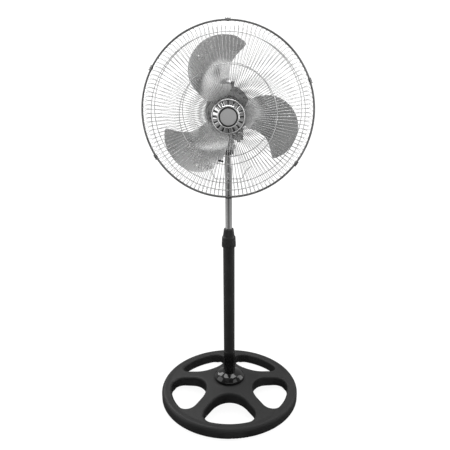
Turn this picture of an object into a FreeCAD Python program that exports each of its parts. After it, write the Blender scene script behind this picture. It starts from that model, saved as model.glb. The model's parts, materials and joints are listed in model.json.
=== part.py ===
import FreeCAD, Part

import math
import os

# Pedestal fan, 18-inch class, at its real size in millimetres.
# Frame: origin on the floor under the pole's axis, +Z up, air blown towards -Y,
# +X to the right as seen from the front.

# ---- driving dimensions ----------------------------------------------------------------------------------
FOOT_HEIGHT = 3.0              # rubber feet under the base
FOOT_RADIUS = 11.0
BASE_RADIUS = 255.0            # steering-wheel base
BASE_RING_HEIGHT = 40.0
BASE_HOLE_OUTER = 218.0        # outer radius of the five openings
BASE_HUB_TOP = 75.0
BASE_HUB_RADIUS = 62.0
BASE_WEB = 42.0                # depth of the spokes at the hub
BASE_WALL = 4.0                # wall of the hollow moulding
BASE_SPOKES = 5
BASE_BOSS_RADIUS = 24.0
BASE_SPOKE_WIDTH = 46.0
STUD_RADIUS = 6.0
BALLAST_INNER = 223.0          # cast ring in the hollow of the base
BALLAST_OUTER = 250.0
BALLAST_TOP = 19.0
UNDERPLATE = 3.0

DOME_RADIUS = 56.0
DOME_TOP = 104.0
SLEEVE_TOP = 190.0

OUTER_TUBE_RADIUS = 19.8       # lower, fixed tube
OUTER_TUBE_BORE = 18.6
OUTER_TUBE_TOP = 627.0
SLEEVE_RADIUS = 20.6
INNER_TUBE_RADIUS = 11.0       # upper, sliding tube
INNER_TUBE_BORE = 9.5
INNER_TUBE_BOTTOM = 440.0
SLIDE_CLEARANCE = 0.06         # radial, on every sliding or turning fit
LOOSE_CLEARANCE = 0.4          # radial, where a turning piece only passes round another

NUT_BOTTOM = 600.5             # height lock nut
NUT_SHOULDER = 636.0
NUT_TOP = 664.0
INSERT_TOP = 640.0             # nylon guide in the lower tube

NECK_BOTTOM = 915.0
NECK_RADIUS = 17.0
TILT_Z = 938.0                 # tilt axis, along X
EAR_RADIUS = 14.0
EAR_GAP = 9.0                  # half of the gap between the neck's ears
SWIVEL_Z = 958.0               # top of the tilt bracket, where the head turns
SWIVEL_POST_RADIUS = 7.0

HEAD_Z = 1053.0                # motor axis, along Y
MOTOR_RADIUS = 69.0
MOTOR_FRONT = -31.0
MOTOR_SPLIT = 10.0
MOTOR_REAR = 58.0
COVER_WALL = 2.5
STATOR_RADIUS = 62.0
ROTOR_CORE_RADIUS = 27.0
SHAFT_RADIUS = 4.0

SPINDLE_X = 13.0               # vertical spindle of the oscillation gearbox
SPINDLE_Y = 78.0
SPINDLE_RADIUS = 2.5
GEARBOX_BOTTOM = 982.0
GEARBOX_TOP = 1094.0
WORM_RADIUS = 4.0
WORM_WHEEL_TEETH = 30
CRANK_THROW = 11.0
ARM_PIN_Y = 40.0               # fixed pin that the connecting rod pulls on

SWITCH_LOW = (18.2, -28.0, 962.0)
SWITCH_HIGH = (46.0, 8.0, 1000.0)

RIM_RADIUS = 247.0             # guard: centre line of the two outer rim wires
RIM_WIRE = 2.5
RIM_FRONT_Y = -123.0
RIM_REAR_Y = -117.7
SPOKE_WIRE = 0.8
RING_WIRE = 1.2
SPOKE_COUNT = 120
SPOKE_END_RADIUS = RIM_RADIUS - RIM_WIRE - SPOKE_WIRE
FRONT_RINGS = (42.0, 136.0, 217.0)
REAR_RINGS = (138.0, 222.0)
FRONT_SPOKE = ((40.0, -195.5), (150.0, -180.5), (SPOKE_END_RADIUS, -152.0), (SPOKE_END_RADIUS, -121.5))
FRONT_BENDS = (400.0, 36.0)
REAR_SPOKE = ((58.0, -34.9), (110.0, -45.5), (SPOKE_END_RADIUS, -45.5), (SPOKE_END_RADIUS, -119.2))
REAR_BENDS = (60.0, 20.0)
WINDOW_HALF_ANGLE = 12.0       # rear spokes this near the bottom are cut away to clear the pole
WINDOW_INNER = 138.0
WINDOW_OUTER = 208.0
CLIP_ANGLES = (21.0, 90.0, 150.0, 210.0, 270.0, 324.0)
CLIP_WIDTH = 15.0
CLIP_WALL = 1.0
TIE_RADIUS = 126.5
TIE_ANGLE = 260.0

BLADE_PLANE = -100.0           # blade spider, along Y
BLADE_THICKNESS = 1.4
BLADE_PITCH = 23.0             # degrees, at the tip
BLADE_CAMBER = 7.0
BLADE_FLAT_RADIUS = 80.0       # the root is flat on the spider up to here
BLADE_TIP_ANGLES = (76.0, 196.0, 316.0)
RIVET_CIRCLE = 69.0
CREASE_START = (80.0, 34.5)    # pressed crease: radius, degrees ahead of the hooked tip
CREASE_END = (136.0, 22.0)
CREASE_SLOPE = 0.34
BALANCE_HOLE = (176.0, 41.5)
RIVET_ANGLES = (22.0, 38.0, 54.0)

CAP_RADIUS = 48.5
CAP_BACK = -196.2
CAP_FACE = -215.0
CAP_SLOTS = 16
BADGE_RADIUS = 22.5

X_AXIS = FreeCAD.Vector(1, 0, 0)
Y_AXIS = FreeCAD.Vector(0, 1, 0)
Z_AXIS = FreeCAD.Vector(0, 0, 1)
FLOOR_CENTRE = FreeCAD.Vector(0, 0, 0)
HEAD_CENTRE = FreeCAD.Vector(0, 0, HEAD_Z)


# ---- small helpers ---------------------------------------------------------------------------------------
def cylinder(radius, length, start, axis=Z_AXIS):
    return Part.makeCylinder(radius, length, FreeCAD.Vector(*start), axis)


def hollow(outer, inner, length, start, axis=Z_AXIS):
    return cylinder(outer, length, start, axis).cut(cylinder(inner, length, start, axis))


def box(low, high):
    size = [b - a for a, b in zip(low, high)]
    return Part.makeBox(*size, FreeCAD.Vector(*low))


def turned(shape, angle, centre=FLOOR_CENTRE, axis=Z_AXIS):
    copy = shape.copy()
    copy.rotate(centre, axis, angle)
    return copy


def around_pole(shape, count, first=0.0):
    return [turned(shape, first + 360.0 * i / count) for i in range(count)]


def around_head(shape, angles):
    """Copies turned about the motor axis; angles run anticlockwise from +X, seen from the front."""
    return [turned(shape, -angle, HEAD_CENTRE, Y_AXIS) for angle in angles]


def even_angles(count, first=0.0):
    return [first + 360.0 * i / count for i in range(count)]


def bend(before, corner, after, radius):
    """The tangent arc of this radius that rounds a corner: its start, middle and end."""
    leg_in = (before - corner).normalize()
    leg_out = (after - corner).normalize()
    half = leg_in.getAngle(leg_out) / 2.0
    reach = radius / math.tan(half)
    bisector = (leg_in + leg_out).normalize()
    middle = corner + bisector * (radius / math.sin(half) - radius)
    return corner + leg_in * reach, middle, corner + leg_out * reach


def rounded_path(points, radii):
    """An open wire through points, with each inner corner rounded by its radius."""
    edges = []
    at = points[0]
    for before, corner, after, radius in zip(points, points[1:], points[2:], radii):
        start, middle, end = bend(before, corner, after, radius)
        edges.append(Part.LineSegment(at, start).toShape())
        edges.append(Part.Arc(start, middle, end).toShape())
        at = end
    edges.append(Part.LineSegment(at, points[-1]).toShape())
    return Part.Wire(edges)


def rounded_loop(points, radii):
    """A closed face; a radius of 0 leaves a corner sharp."""
    edges = []
    ends = []
    count = len(points)
    for i, radius in enumerate(radii):
        if radius:
            ends.append(bend(points[i - 1], points[i], points[(i + 1) % count], radius))
        else:
            ends.append((points[i], None, points[i]))
    for i, (start, middle, end) in enumerate(ends):
        if middle is not None:
            edges.append(Part.Arc(start, middle, end).toShape())
        following = ends[(i + 1) % count][0]
        if (following - end).Length > 1e-6:
            edges.append(Part.LineSegment(end, following).toShape())
    return Part.Face(Part.Wire(edges))


def lathe_z(profile):
    """A solid turned about the pole's axis from corners (radius, height, corner radius)."""
    points = [FreeCAD.Vector(r, 0, z) for r, z, _ in profile]
    return rounded_loop(points, [c for _, _, c in profile]).revolve(FLOOR_CENTRE, Z_AXIS, 360)


def lathe_y(profile):
    """A solid turned about the motor axis from corners (radius, y, corner radius)."""
    points = [FreeCAD.Vector(r, y, HEAD_Z) for r, y, _ in profile]
    return rounded_loop(points, [c for _, _, c in profile]).revolve(HEAD_CENTRE, Y_AXIS, 360)


def head_ring(radius, y, wire):
    return Part.makeTorus(radius, wire, FreeCAD.Vector(0, y, HEAD_Z), Y_AXIS)


def on_head(radius, angle, y):
    turn = math.radians(angle)
    return FreeCAD.Vector(radius * math.cos(turn), y, HEAD_Z + radius * math.sin(turn))


def wire_along(path, radius):
    """A round wire of this radius that follows a path."""
    start = path.Edges[0].valueAt(path.Edges[0].FirstParameter)
    along = path.Edges[0].tangentAt(path.Edges[0].FirstParameter)
    section = Part.Face(Part.Wire(Part.Circle(start, along, radius).toShape()))
    return path.makePipe(section)


def group(shapes):
    return Part.makeCompound(shapes)


# ---- base ------------------------------------------------------------------------------------------------
def base_opening(wall=0.0):
    """The prism that cuts one opening, on the -Y side: a wedge between two spokes with rounded corners.
    With a wall it is that much larger all round, and bounds the hollow behind the opening's skirt."""
    outer = BASE_HOLE_OUTER + wall
    half_width = BASE_SPOKE_WIDTH / 2.0 - wall
    half = math.pi / BASE_SPOKES
    apex = half_width / math.sin(half)
    lean = half - math.asin(half_width / outer)
    low = -1.0
    tip = FreeCAD.Vector(0, -apex, low)
    right = FreeCAD.Vector(outer * math.sin(lean), -outer * math.cos(lean), low)
    left = FreeCAD.Vector(-right.x, right.y, low)
    bottom = FreeCAD.Vector(0, -outer, low)
    edges = [Part.LineSegment(tip, right).toShape(), Part.Arc(right, bottom, left).toShape()]
    edges.append(Part.LineSegment(left, tip).toShape())
    wedge = Part.Face(Part.Wire(edges)).extrude(Z_AXIS * (BASE_HUB_TOP + 20.0))
    corner = 36.0 + wall
    nose = 78.0 + wall
    wedge = wedge.makeFillet(nose, upright_edges(wedge, 0.0, 1.0))
    return wedge.makeFillet(corner, upright_edges(wedge, 100.0, 200.0))


def upright_edges(shape, nearest, furthest):
    """Vertical edges whose distance from the YZ plane is between two limits."""
    upright = [e for e in shape.Edges if abs(e.tangentAt(e.FirstParameter).z) > 0.99]
    return [e for e in upright if nearest <= abs(e.CenterOfMass.x) <= furthest]


def base_shell():
    """The moulded base: a ring on five arched spokes, hollow from below, with ribs round the stud."""
    under_hub = BASE_HUB_TOP - BASE_WEB
    body = lathe_z([
        (0, BASE_HUB_TOP, 0), (BASE_HUB_RADIUS, BASE_HUB_TOP, 18), (228, BASE_RING_HEIGHT, 30),
        (BASE_RADIUS, BASE_RING_HEIGHT, 15), (BASE_RADIUS, FOOT_HEIGHT, 4), (212, FOOT_HEIGHT, 0),
        (206, 8, 0), (BASE_HUB_RADIUS, under_hub, 15), (0, under_hub, 0)])
    for prism in around_pole(base_opening(), BASE_SPOKES):
        body = body.cut(prism)
    rounding = 8.0
    body = body.makeFillet(rounding, [e for e in body.Edges if is_opening_lip(e)])
    stud_hole = cylinder(STUD_RADIUS + 0.2, BASE_HUB_TOP, (0, 0, 1))
    return body.cut(base_hollow()).cut(stud_hole)


def base_hollow():
    """The space inside the moulding, open at the bottom; a solid boss stays round the stud."""
    top = BASE_HUB_TOP - BASE_WALL
    ring_top = BASE_RING_HEIGHT - BASE_WALL
    inside = lathe_z([
        (BASE_BOSS_RADIUS, top, 0), (BASE_HUB_RADIUS - 1.0, top, 0), (227, ring_top, 0),
        (BASE_RADIUS - 9.0, ring_top, 0), (BASE_RADIUS - BASE_WALL, ring_top - 5.0, 0),
        (BASE_RADIUS - BASE_WALL, 0, 0), (BASE_BOSS_RADIUS, 0, 0)])
    for prism in around_pole(base_opening(BASE_WALL), BASE_SPOKES):
        inside = inside.cut(prism)
    return inside


def is_opening_lip(edge):
    centre = edge.CenterOfMass
    reach = math.hypot(centre.x, centre.y)
    level = edge.BoundBox.ZMin > BASE_RING_HEIGHT - 1.0
    return level and 80.0 < reach < BASE_HOLE_OUTER + 2.0 and edge.Length < 300.0


def base_ballast():
    bottom = FOOT_HEIGHT + UNDERPLATE
    return hollow(BALLAST_OUTER, BALLAST_INNER, BALLAST_TOP - bottom, (0, 0, bottom))


def base_underplate():
    """Ring that closes the ballast's channel from below."""
    return hollow(BALLAST_OUTER, BALLAST_INNER, UNDERPLATE, (0, 0, FOOT_HEIGHT))


def rubber_feet():
    centre = (BALLAST_INNER + BALLAST_OUTER) / 2.0
    foot = cylinder(FOOT_RADIUS, FOOT_HEIGHT, (centre, 0, 0))
    foot = foot.makeFillet(0.8, [foot.Edges[2]])
    return group(around_pole(foot, BASE_SPOKES, 90.0))


def tube_flange():
    """Steel foot of the pole: a flange on the hub, a plug in the tube and a stud down through the base."""
    flange = cylinder(30.0, 4.0, (0, 0, BASE_HUB_TOP))
    plug = cylinder(OUTER_TUBE_BORE, 50.0, (0, 0, BASE_HUB_TOP + 4.0))
    stud_bottom = BASE_HUB_TOP - BASE_WEB - 16.0
    stud = cylinder(STUD_RADIUS, BASE_HUB_TOP + 2.0 - stud_bottom, (0, 0, stud_bottom))
    return flange.fuse(plug).fuse(stud)


def hexagon(across_flats, height, start, axis=Z_AXIS):
    radius = across_flats / math.sqrt(3.0)
    ring = [FreeCAD.Vector(radius * math.cos(math.radians(a)), radius * math.sin(math.radians(a)), 0)
            for a in even_angles(6)]
    prism = Part.Face(Part.makePolygon(ring + [ring[0]])).extrude(Z_AXIS * height)
    prism.Placement = FreeCAD.Placement(FreeCAD.Vector(*start), FreeCAD.Rotation(Z_AXIS, axis))
    return prism


def base_nut():
    """Flanged nut on the stud, which clamps the base to the pole."""
    height = 10.0
    collar = 2.5
    under_hub = BASE_HUB_TOP - BASE_WEB
    nut = hexagon(19.0, height, (0, 0, under_hub - collar - height))
    nut = nut.fuse(cylinder(20.0, collar, (0, 0, under_hub - collar)))
    return nut.cut(cylinder(STUD_RADIUS, 30.0, (0, 0, under_hub - 20.0)))


def dome_cover():
    """Glossy bell over the pole's foot."""
    opening = OUTER_TUBE_RADIUS + 0.2
    wall = 2.5
    return lathe_z([
        (DOME_RADIUS, BASE_HUB_TOP + 0.2, 0), (DOME_RADIUS, 84, 7), (44, 97.5, 22), (26, DOME_TOP, 8),
        (opening, DOME_TOP, 0), (opening, DOME_TOP - wall, 0), (24.4, DOME_TOP - wall, 6),
        (42.6, 95.2, 20), (DOME_RADIUS - wall, 83, 5), (DOME_RADIUS - wall, BASE_HUB_TOP + 0.2, 0)])


# ---- pole ------------------------------------------------------------------------------------------------
def foot_sleeve():
    """Glossy sleeve at the pole's foot, with a ribbed lower half."""
    bore = OUTER_TUBE_RADIUS + 0.05
    bottom = DOME_TOP + 0.1
    rib_radius = 1.1
    rib_bottom = bottom + 4.0
    rib_length = 36.0
    place = SLEEVE_RADIUS - 0.3
    sleeve = lathe_z([
        (bore, bottom, 0), (SLEEVE_RADIUS, bottom, 0.5),
        (SLEEVE_RADIUS, SLEEVE_TOP, 0.5), (bore, SLEEVE_TOP, 0)])
    rib = cylinder(rib_radius, rib_length, (place, 0, rib_bottom))
    for end in (rib_bottom, rib_bottom + rib_length):
        rib = rib.fuse(Part.makeSphere(rib_radius, FreeCAD.Vector(place, 0, end)))
    rib = rib.cut(cylinder(bore, 60.0, (0, 0, bottom)))
    return sleeve.fuse(around_pole(rib, 15)).removeSplitter()


def lower_tube():
    bottom = BASE_HUB_TOP + 4.0
    return hollow(OUTER_TUBE_RADIUS, OUTER_TUBE_BORE, OUTER_TUBE_TOP - bottom, (0, 0, bottom))


def tube_insert():
    """Nylon guide fixed in the top of the lower tube; the upper tube slides in it."""
    bore = INNER_TUBE_RADIUS + SLIDE_CLEARANCE
    bottom = OUTER_TUBE_TOP - 42.0
    return lathe_z([
        (bore, bottom, 0), (OUTER_TUBE_BORE, bottom, 1), (OUTER_TUBE_BORE, OUTER_TUBE_TOP, 0),
        (OUTER_TUBE_RADIUS, OUTER_TUBE_TOP, 0), (OUTER_TUBE_RADIUS, OUTER_TUBE_TOP + 4, 1),
        (15, OUTER_TUBE_TOP + 4, 0), (15, INSERT_TOP, 0), (bore, INSERT_TOP, 0)])


def grip_jaws():
    """Split cone that the lock nut squeezes onto the upper tube."""
    bore = INNER_TUBE_RADIUS + 0.3
    foot = INSERT_TOP + 0.2
    cone = lathe_z([
        (bore, foot, 0), (14.6, foot, 0), (14.6, foot + 7, 0), (12.8, foot + 19, 0), (bore, foot + 19, 0)])
    for slit in around_pole(box((0, -0.8, foot - 1), (20, 0.8, foot + 15)), 4, 45.0):
        cone = cone.cut(slit)
    return cone


def height_lock_nut():
    """Ribbed lock nut: a grip ring below and a cone above."""
    around_tube = OUTER_TUBE_RADIUS + LOOSE_CLEARANCE
    top_bore = INNER_TUBE_RADIUS + LOOSE_CLEARANCE
    nut = lathe_z([
        (around_tube, NUT_BOTTOM, 0), (23.6, NUT_BOTTOM, 1), (24.4, NUT_BOTTOM + 4, 1),
        (22.9, NUT_SHOULDER - 1, 1.2), (19.4, NUT_SHOULDER + 4, 1),
        (16.4, NUT_TOP, 1), (top_bore, NUT_TOP, 0),
        (top_bore, NUT_TOP - 2.5, 0), (13.4, NUT_TOP - 3.5, 0), (15.2, INSERT_TOP + 8, 0),
        (15.4, INSERT_TOP + 1, 0), (16.4, INSERT_TOP - 2, 0), (around_tube, INSERT_TOP - 7, 0)])
    groove = cylinder(1.2, 24.0, (24.6, 0, NUT_BOTTOM + 6.0))
    return nut.cut(group(around_pole(groove, 20)))


def upper_tube():
    return hollow(INNER_TUBE_RADIUS, INNER_TUBE_BORE, NECK_BOTTOM + 10.0 - INNER_TUBE_BOTTOM,
                  (0, 0, INNER_TUBE_BOTTOM))


def slide_bush():
    """Nylon bush on the upper tube's lower end, which keeps it central in the lower tube."""
    outer = OUTER_TUBE_BORE - SLIDE_CLEARANCE
    ring = hollow(outer, INNER_TUBE_RADIUS, 22.0, (0, 0, INNER_TUBE_BOTTOM))
    return ring.fuse(cylinder(outer, 4.0, (0, 0, INNER_TUBE_BOTTOM - 4.0)))


# ---- neck and tilt ---------------------------------------------------------------------------------------
def neck_socket():
    """Moulded neck: a ribbed socket on the tube with two ears for the tilt joint."""
    body = lathe_z([
        (0, NECK_BOTTOM, 0), (NECK_RADIUS - 1, NECK_BOTTOM, 2), (NECK_RADIUS, NECK_BOTTOM + 12, 3),
        (NECK_RADIUS, TILT_Z, 0), (0, TILT_Z, 0)])
    ears = cylinder(EAR_RADIUS, 2 * NECK_RADIUS, (-NECK_RADIUS, 0, TILT_Z), X_AXIS)
    ears = ears.common(cylinder(NECK_RADIUS, 60.0, (0, 0, NECK_BOTTOM)))
    rib = box((NECK_RADIUS - 1.5, -0.9, NECK_BOTTOM + 4), (NECK_RADIUS + 0.8, 0.9, NECK_BOTTOM + 16))
    neck = body.fuse([ears] + around_pole(rib, 14, 360.0 / 28.0))
    gap = box((-EAR_GAP, -30, TILT_Z - EAR_RADIUS - 1.0), (EAR_GAP, 30, TILT_Z + 30))
    tube_bore = cylinder(INNER_TUBE_RADIUS, 10.0, (0, 0, NECK_BOTTOM))
    bolt_hole = cylinder(4.0, 60.0, (-30, 0, TILT_Z), X_AXIS)
    screw_hole = cylinder(2.5, 20.0, (0, 8, NECK_BOTTOM + 5.0), Y_AXIS)
    return neck.cut(gap).cut(tube_bore).cut(bolt_hole).cut(screw_hole)


def neck_screw():
    """Thumb screw at the back of the neck, which locks it on the tube."""
    stem = cylinder(2.5, 10.0, (0, INNER_TUBE_RADIUS, NECK_BOTTOM + 5.0), Y_AXIS)
    knob = cylinder(5.0, 9.0, (0, INNER_TUBE_RADIUS + 9.0, NECK_BOTTOM + 5.0), Y_AXIS)
    return stem.fuse(knob)


def tilt_bolt():
    shank = cylinder(4.0, 2 * NECK_RADIUS + 8.0, (-NECK_RADIUS - 1.0, 0, TILT_Z), X_AXIS)
    head = cylinder(7.0, 3.0, (-NECK_RADIUS - 4.0, 0, TILT_Z), X_AXIS)
    slot = box((-NECK_RADIUS - 5.0, -8, TILT_Z - 0.8), (-NECK_RADIUS - 3.0, 8, TILT_Z + 0.8))
    return shank.fuse(head.cut(slot))


def tilt_nut():
    nut = hexagon(13.0, 5.0, (NECK_RADIUS + 0.2, 0, TILT_Z), X_AXIS)
    return nut.cut(cylinder(4.0, 20.0, (NECK_RADIUS - 2.0, 0, TILT_Z), X_AXIS))


def tilt_bracket():
    """Cast bracket between the ears: a lug, a flange, an arm to the rear and the post the head turns on."""
    half = EAR_GAP - 0.3
    lug = cylinder(EAR_RADIUS - 1.5, 2 * half, (-half, 0, TILT_Z), X_AXIS)
    stem = box((-half, -10, TILT_Z), (half, 10, SWIVEL_Z - 4.0))
    flange = cylinder(NECK_RADIUS, 5.0, (0, 0, SWIVEL_Z - 5.0))
    arm = box((-6, 0, SWIVEL_Z - 5.0), (6, ARM_PIN_Y, SWIVEL_Z)).fuse(
        cylinder(6.0, 5.0, (0, ARM_PIN_Y, SWIVEL_Z - 5.0)))
    arm_pin = cylinder(3.0, 15.6, (0, ARM_PIN_Y, SWIVEL_Z - 5.0))
    post = cylinder(SWIVEL_POST_RADIUS, 16.0, (0, 0, SWIVEL_Z))
    bracket = lug.fuse([stem, flange, arm, arm_pin, post])
    return bracket.cut(cylinder(4.0 + SLIDE_CLEARANCE, 40.0, (-20, 0, TILT_Z), X_AXIS)).removeSplitter()


# ---- motor -----------------------------------------------------------------------------------------------
def swivel_socket():
    """Cast seat under the motor that turns on the bracket's post."""
    bottom = SWIVEL_Z + 0.4
    block = box((-22, -20, bottom), (18, 20, 990))
    block = block.makeFillet(6.0, [e for e in block.Edges if abs(e.tangentAt(e.FirstParameter).z) > 0.99])
    bore = cylinder(SWIVEL_POST_RADIUS + SLIDE_CLEARANCE, 16.4, (0, 0, bottom))
    motor = cylinder(MOTOR_RADIUS, 120.0, (0, -50, HEAD_Z), Y_AXIS)
    return block.cut(bore).cut(motor)


def vent_slot(inner, outer, width, y, depth):
    return box((inner, y, HEAD_Z - width / 2.0), (outer, y + depth, HEAD_Z + width / 2.0))


def motor_front_cover():
    inner = MOTOR_RADIUS - COVER_WALL
    cover = lathe_y([
        (6, MOTOR_FRONT - 6, 0), (16, MOTOR_FRONT - 6, 2), (17, MOTOR_FRONT, 0),
        (MOTOR_RADIUS, MOTOR_FRONT, 9),
        (MOTOR_RADIUS, MOTOR_SPLIT, 0), (STATOR_RADIUS, MOTOR_SPLIT, 0), (STATOR_RADIUS, MOTOR_SPLIT - 8, 0),
        (inner, MOTOR_SPLIT - 8, 0), (inner, MOTOR_FRONT + COVER_WALL, 6), (13, MOTOR_FRONT + COVER_WALL, 0),
        (13, MOTOR_FRONT + 9, 0), (11, MOTOR_FRONT + 9, 0),
        (11, MOTOR_FRONT - 2, 0), (6, MOTOR_FRONT - 2, 0)])
    face = around_head(vent_slot(26, 40, 3.0, MOTOR_FRONT - 1, 5), even_angles(24))
    slot = vent_slot(MOTOR_RADIUS - 5.0, MOTOR_RADIUS + 5.0, 3.0, MOTOR_FRONT + 10, 20)
    side = around_head(slot, even_angles(36))
    return cover.cut(group(face)).cut(group(side))


def motor_rear_cover():
    inner = MOTOR_RADIUS - COVER_WALL
    cover = lathe_y([
        (STATOR_RADIUS, MOTOR_SPLIT, 0), (MOTOR_RADIUS, MOTOR_SPLIT, 0), (MOTOR_RADIUS, MOTOR_REAR, 22),
        (6, MOTOR_REAR, 0), (6, MOTOR_REAR - COVER_WALL, 0), (11, MOTOR_REAR - COVER_WALL, 0),
        (11, MOTOR_REAR - 12, 0), (13, MOTOR_REAR - 12, 0), (13, MOTOR_REAR - COVER_WALL, 0),
        (inner, MOTOR_REAR - COVER_WALL, 19.5), (inner, MOTOR_SPLIT + 8, 0),
        (STATOR_RADIUS, MOTOR_SPLIT + 8, 0)])
    slot = vent_slot(MOTOR_RADIUS - 7.0, MOTOR_RADIUS + 5.0, 3.0, MOTOR_SPLIT + 12, 16)
    side = around_head(slot, even_angles(36))
    face = around_head(vent_slot(34, 48, 3.0, MOTOR_REAR - 4, 6), even_angles(24, 7.5))
    return cover.cut(group(side)).cut(group(face))


def stator_core():
    core = hollow(STATOR_RADIUS, ROTOR_CORE_RADIUS + 0.5, 30.0, (0, -5, HEAD_Z), Y_AXIS)
    slot = box((ROTOR_CORE_RADIUS - 1, -6, HEAD_Z - 2.0), (50, 26, HEAD_Z + 2.0))
    return core.cut(group(around_head(slot, even_angles(16))))


def stator_windings():
    front = head_ring(41.0, -11.6, 6.5)
    rear = head_ring(41.0, 31.6, 6.5)
    return group([front, rear])


def motor_bearings():
    bore = SHAFT_RADIUS + SLIDE_CLEARANCE
    places = (MOTOR_FRONT - 2.0, MOTOR_REAR - 12.0)
    return group([hollow(11.0, bore, 7.0, (0, y, HEAD_Z), Y_AXIS) for y in places])


def run_capacitor():
    """Motor-run capacitor in the switch box."""
    return box((24, -22, 965), (36, -2, 976))


def rotor_core():
    return hollow(ROTOR_CORE_RADIUS, SHAFT_RADIUS, 30.0, (0, -5, HEAD_Z), Y_AXIS)


def motor_shaft():
    """Shaft from the blade nut to the worm on its rear end, whose thread is drawn as rings."""
    front = BLADE_PLANE - 26.0
    step = MOTOR_REAR + 4.0
    root = WORM_RADIUS - 0.9
    pitch = 2.0
    shaft = cylinder(SHAFT_RADIUS, step - front, (0, front, HEAD_Z), Y_AXIS)
    shaft = shaft.fuse(cylinder(root, 30.0, (0, step, HEAD_Z), Y_AXIS))
    first = step + 6.0
    ridges = []
    for i in range(10):
        y = first + pitch * i
        ridges.append(lathe_y([(1, y, 0), (root, y, 0), (WORM_RADIUS, y + 0.5, 0), (WORM_RADIUS, y + 1, 0),
                               (root, y + 1.5, 0), (1, y + 1.5, 0)]))
    return shaft.fuse(ridges)


# ---- oscillation gearbox ---------------------------------------------------------------------------------
def rounded_case(low, high, radius):
    """A box with rounded upright edges."""
    block = box(low, high)
    return block.makeFillet(radius, [e for e in block.Edges if abs(e.tangentAt(e.FirstParameter).z) > 0.99])


def gearbox_case():
    """The hollow case in one piece; the housing and its cover are its front and rear halves."""
    low = (SPINDLE_X - 27.0, MOTOR_REAR + 0.1, GEARBOX_BOTTOM)
    high = (SPINDLE_X + 21.0, SPINDLE_Y + 22.0, GEARBOX_TOP)
    wall = 3.0
    case = rounded_case(low, high, 12.0)
    top = [e for e in case.Edges if abs(e.CenterOfMass.z - GEARBOX_TOP) < 0.1]
    case = case.makeFillet(5.0, top)
    case = case.cut(rounded_case([v + wall for v in low], [v - wall for v in high], 9.0))
    case = case.cut(cylinder(SHAFT_RADIUS + 1.0, 8.0, (0, MOTOR_REAR - 1.0, HEAD_Z), Y_AXIS))
    bore = SPINDLE_RADIUS + SLIDE_CLEARANCE
    case = case.cut(cylinder(bore, 8.0, (SPINDLE_X, SPINDLE_Y, GEARBOX_BOTTOM - 2)))
    return case.cut(cylinder(3.0 + SLIDE_CLEARANCE, 8.0, (SPINDLE_X, SPINDLE_Y, GEARBOX_TOP - 5)))


def gearbox_half(rear):
    y_range = (SPINDLE_Y, 200.0) if rear else (0.0, SPINDLE_Y)
    return gearbox_case().common(box((-100, y_range[0], 900), (100, y_range[1], 1200)))


def gearbox_screws():
    places = [(SPINDLE_X + x, z) for x in (-12.0, 6.0) for z in (GEARBOX_BOTTOM + 12, GEARBOX_TOP - 14)]
    return group([cylinder(3.0, 1.8, (x, SPINDLE_Y + 22.0, z), Y_AXIS) for x, z in places])


def worm_wheel():
    """Toothed wheel on the vertical spindle, driven by the worm."""
    tip = SPINDLE_X - WORM_RADIUS - 0.2
    centre = FreeCAD.Vector(SPINDLE_X, SPINDLE_Y, 0)
    wheel = cylinder(tip, 8.0, (SPINDLE_X, SPINDLE_Y, HEAD_Z - 4.0))
    outer = SPINDLE_X + tip
    gap = box((outer - 0.9, SPINDLE_Y - 0.45, HEAD_Z - 5), (outer + 1, SPINDLE_Y + 0.45, HEAD_Z + 5))
    gaps = [turned(gap, angle, centre) for angle in even_angles(WORM_WHEEL_TEETH)]
    return wheel.cut(group(gaps)).cut(cylinder(SPINDLE_RADIUS, 20.0, (SPINDLE_X, SPINDLE_Y, HEAD_Z - 10)))


def crank_spindle():
    """Vertical spindle with the crank disc and its pin below the gearbox."""
    bottom = GEARBOX_BOTTOM - 6.0
    rod = cylinder(SPINDLE_RADIUS, 1082.0 - bottom, (SPINDLE_X, SPINDLE_Y, bottom))
    disc = cylinder(15.0, 5.0, (SPINDLE_X, SPINDLE_Y, bottom))
    pin = cylinder(2.5, 10.0, (SPINDLE_X, SPINDLE_Y - CRANK_THROW, bottom - 8.0))
    return rod.fuse([disc, pin])


def connecting_rod():
    """Flat rod from the crank pin towards the bracket's arm pin, whose pivot is left open."""
    bottom = SWIVEL_Z + 11.2
    crank_pin = FreeCAD.Vector(SPINDLE_X, SPINDLE_Y - CRANK_THROW, bottom)
    arm_pin = FreeCAD.Vector(0, ARM_PIN_Y, bottom)
    along = arm_pin - crank_pin
    bar = box((0, -4, 0), (along.Length, 4, 4))
    turn = math.degrees(math.atan2(along.y, along.x))
    bar.Placement = FreeCAD.Placement(crank_pin, FreeCAD.Rotation(Z_AXIS, turn))
    rod = bar.fuse([cylinder(6.0, 4.0, crank_pin), cylinder(6.0, 4.0, arm_pin)])
    rod = rod.cut(cylinder(2.5 + SLIDE_CLEARANCE, 4.0, crank_pin))
    return rod.cut(cylinder(3.1, 4.0, arm_pin))


def oscillation_knob():
    stem = cylinder(3.0, 26.0, (SPINDLE_X, SPINDLE_Y, GEARBOX_TOP - 10.0))
    collar = cylinder(4.2, 12.0, (SPINDLE_X, SPINDLE_Y, GEARBOX_TOP + 12.0))
    top = cylinder(7.0, 8.0, (SPINDLE_X, SPINDLE_Y, GEARBOX_TOP + 30.0))
    grip = cylinder(5.0, 12.0, (SPINDLE_X, SPINDLE_Y, GEARBOX_TOP + 20.0))
    return stem.fuse([collar, top.makeFillet(2.0, [top.Edges[0]]), grip])


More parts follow.
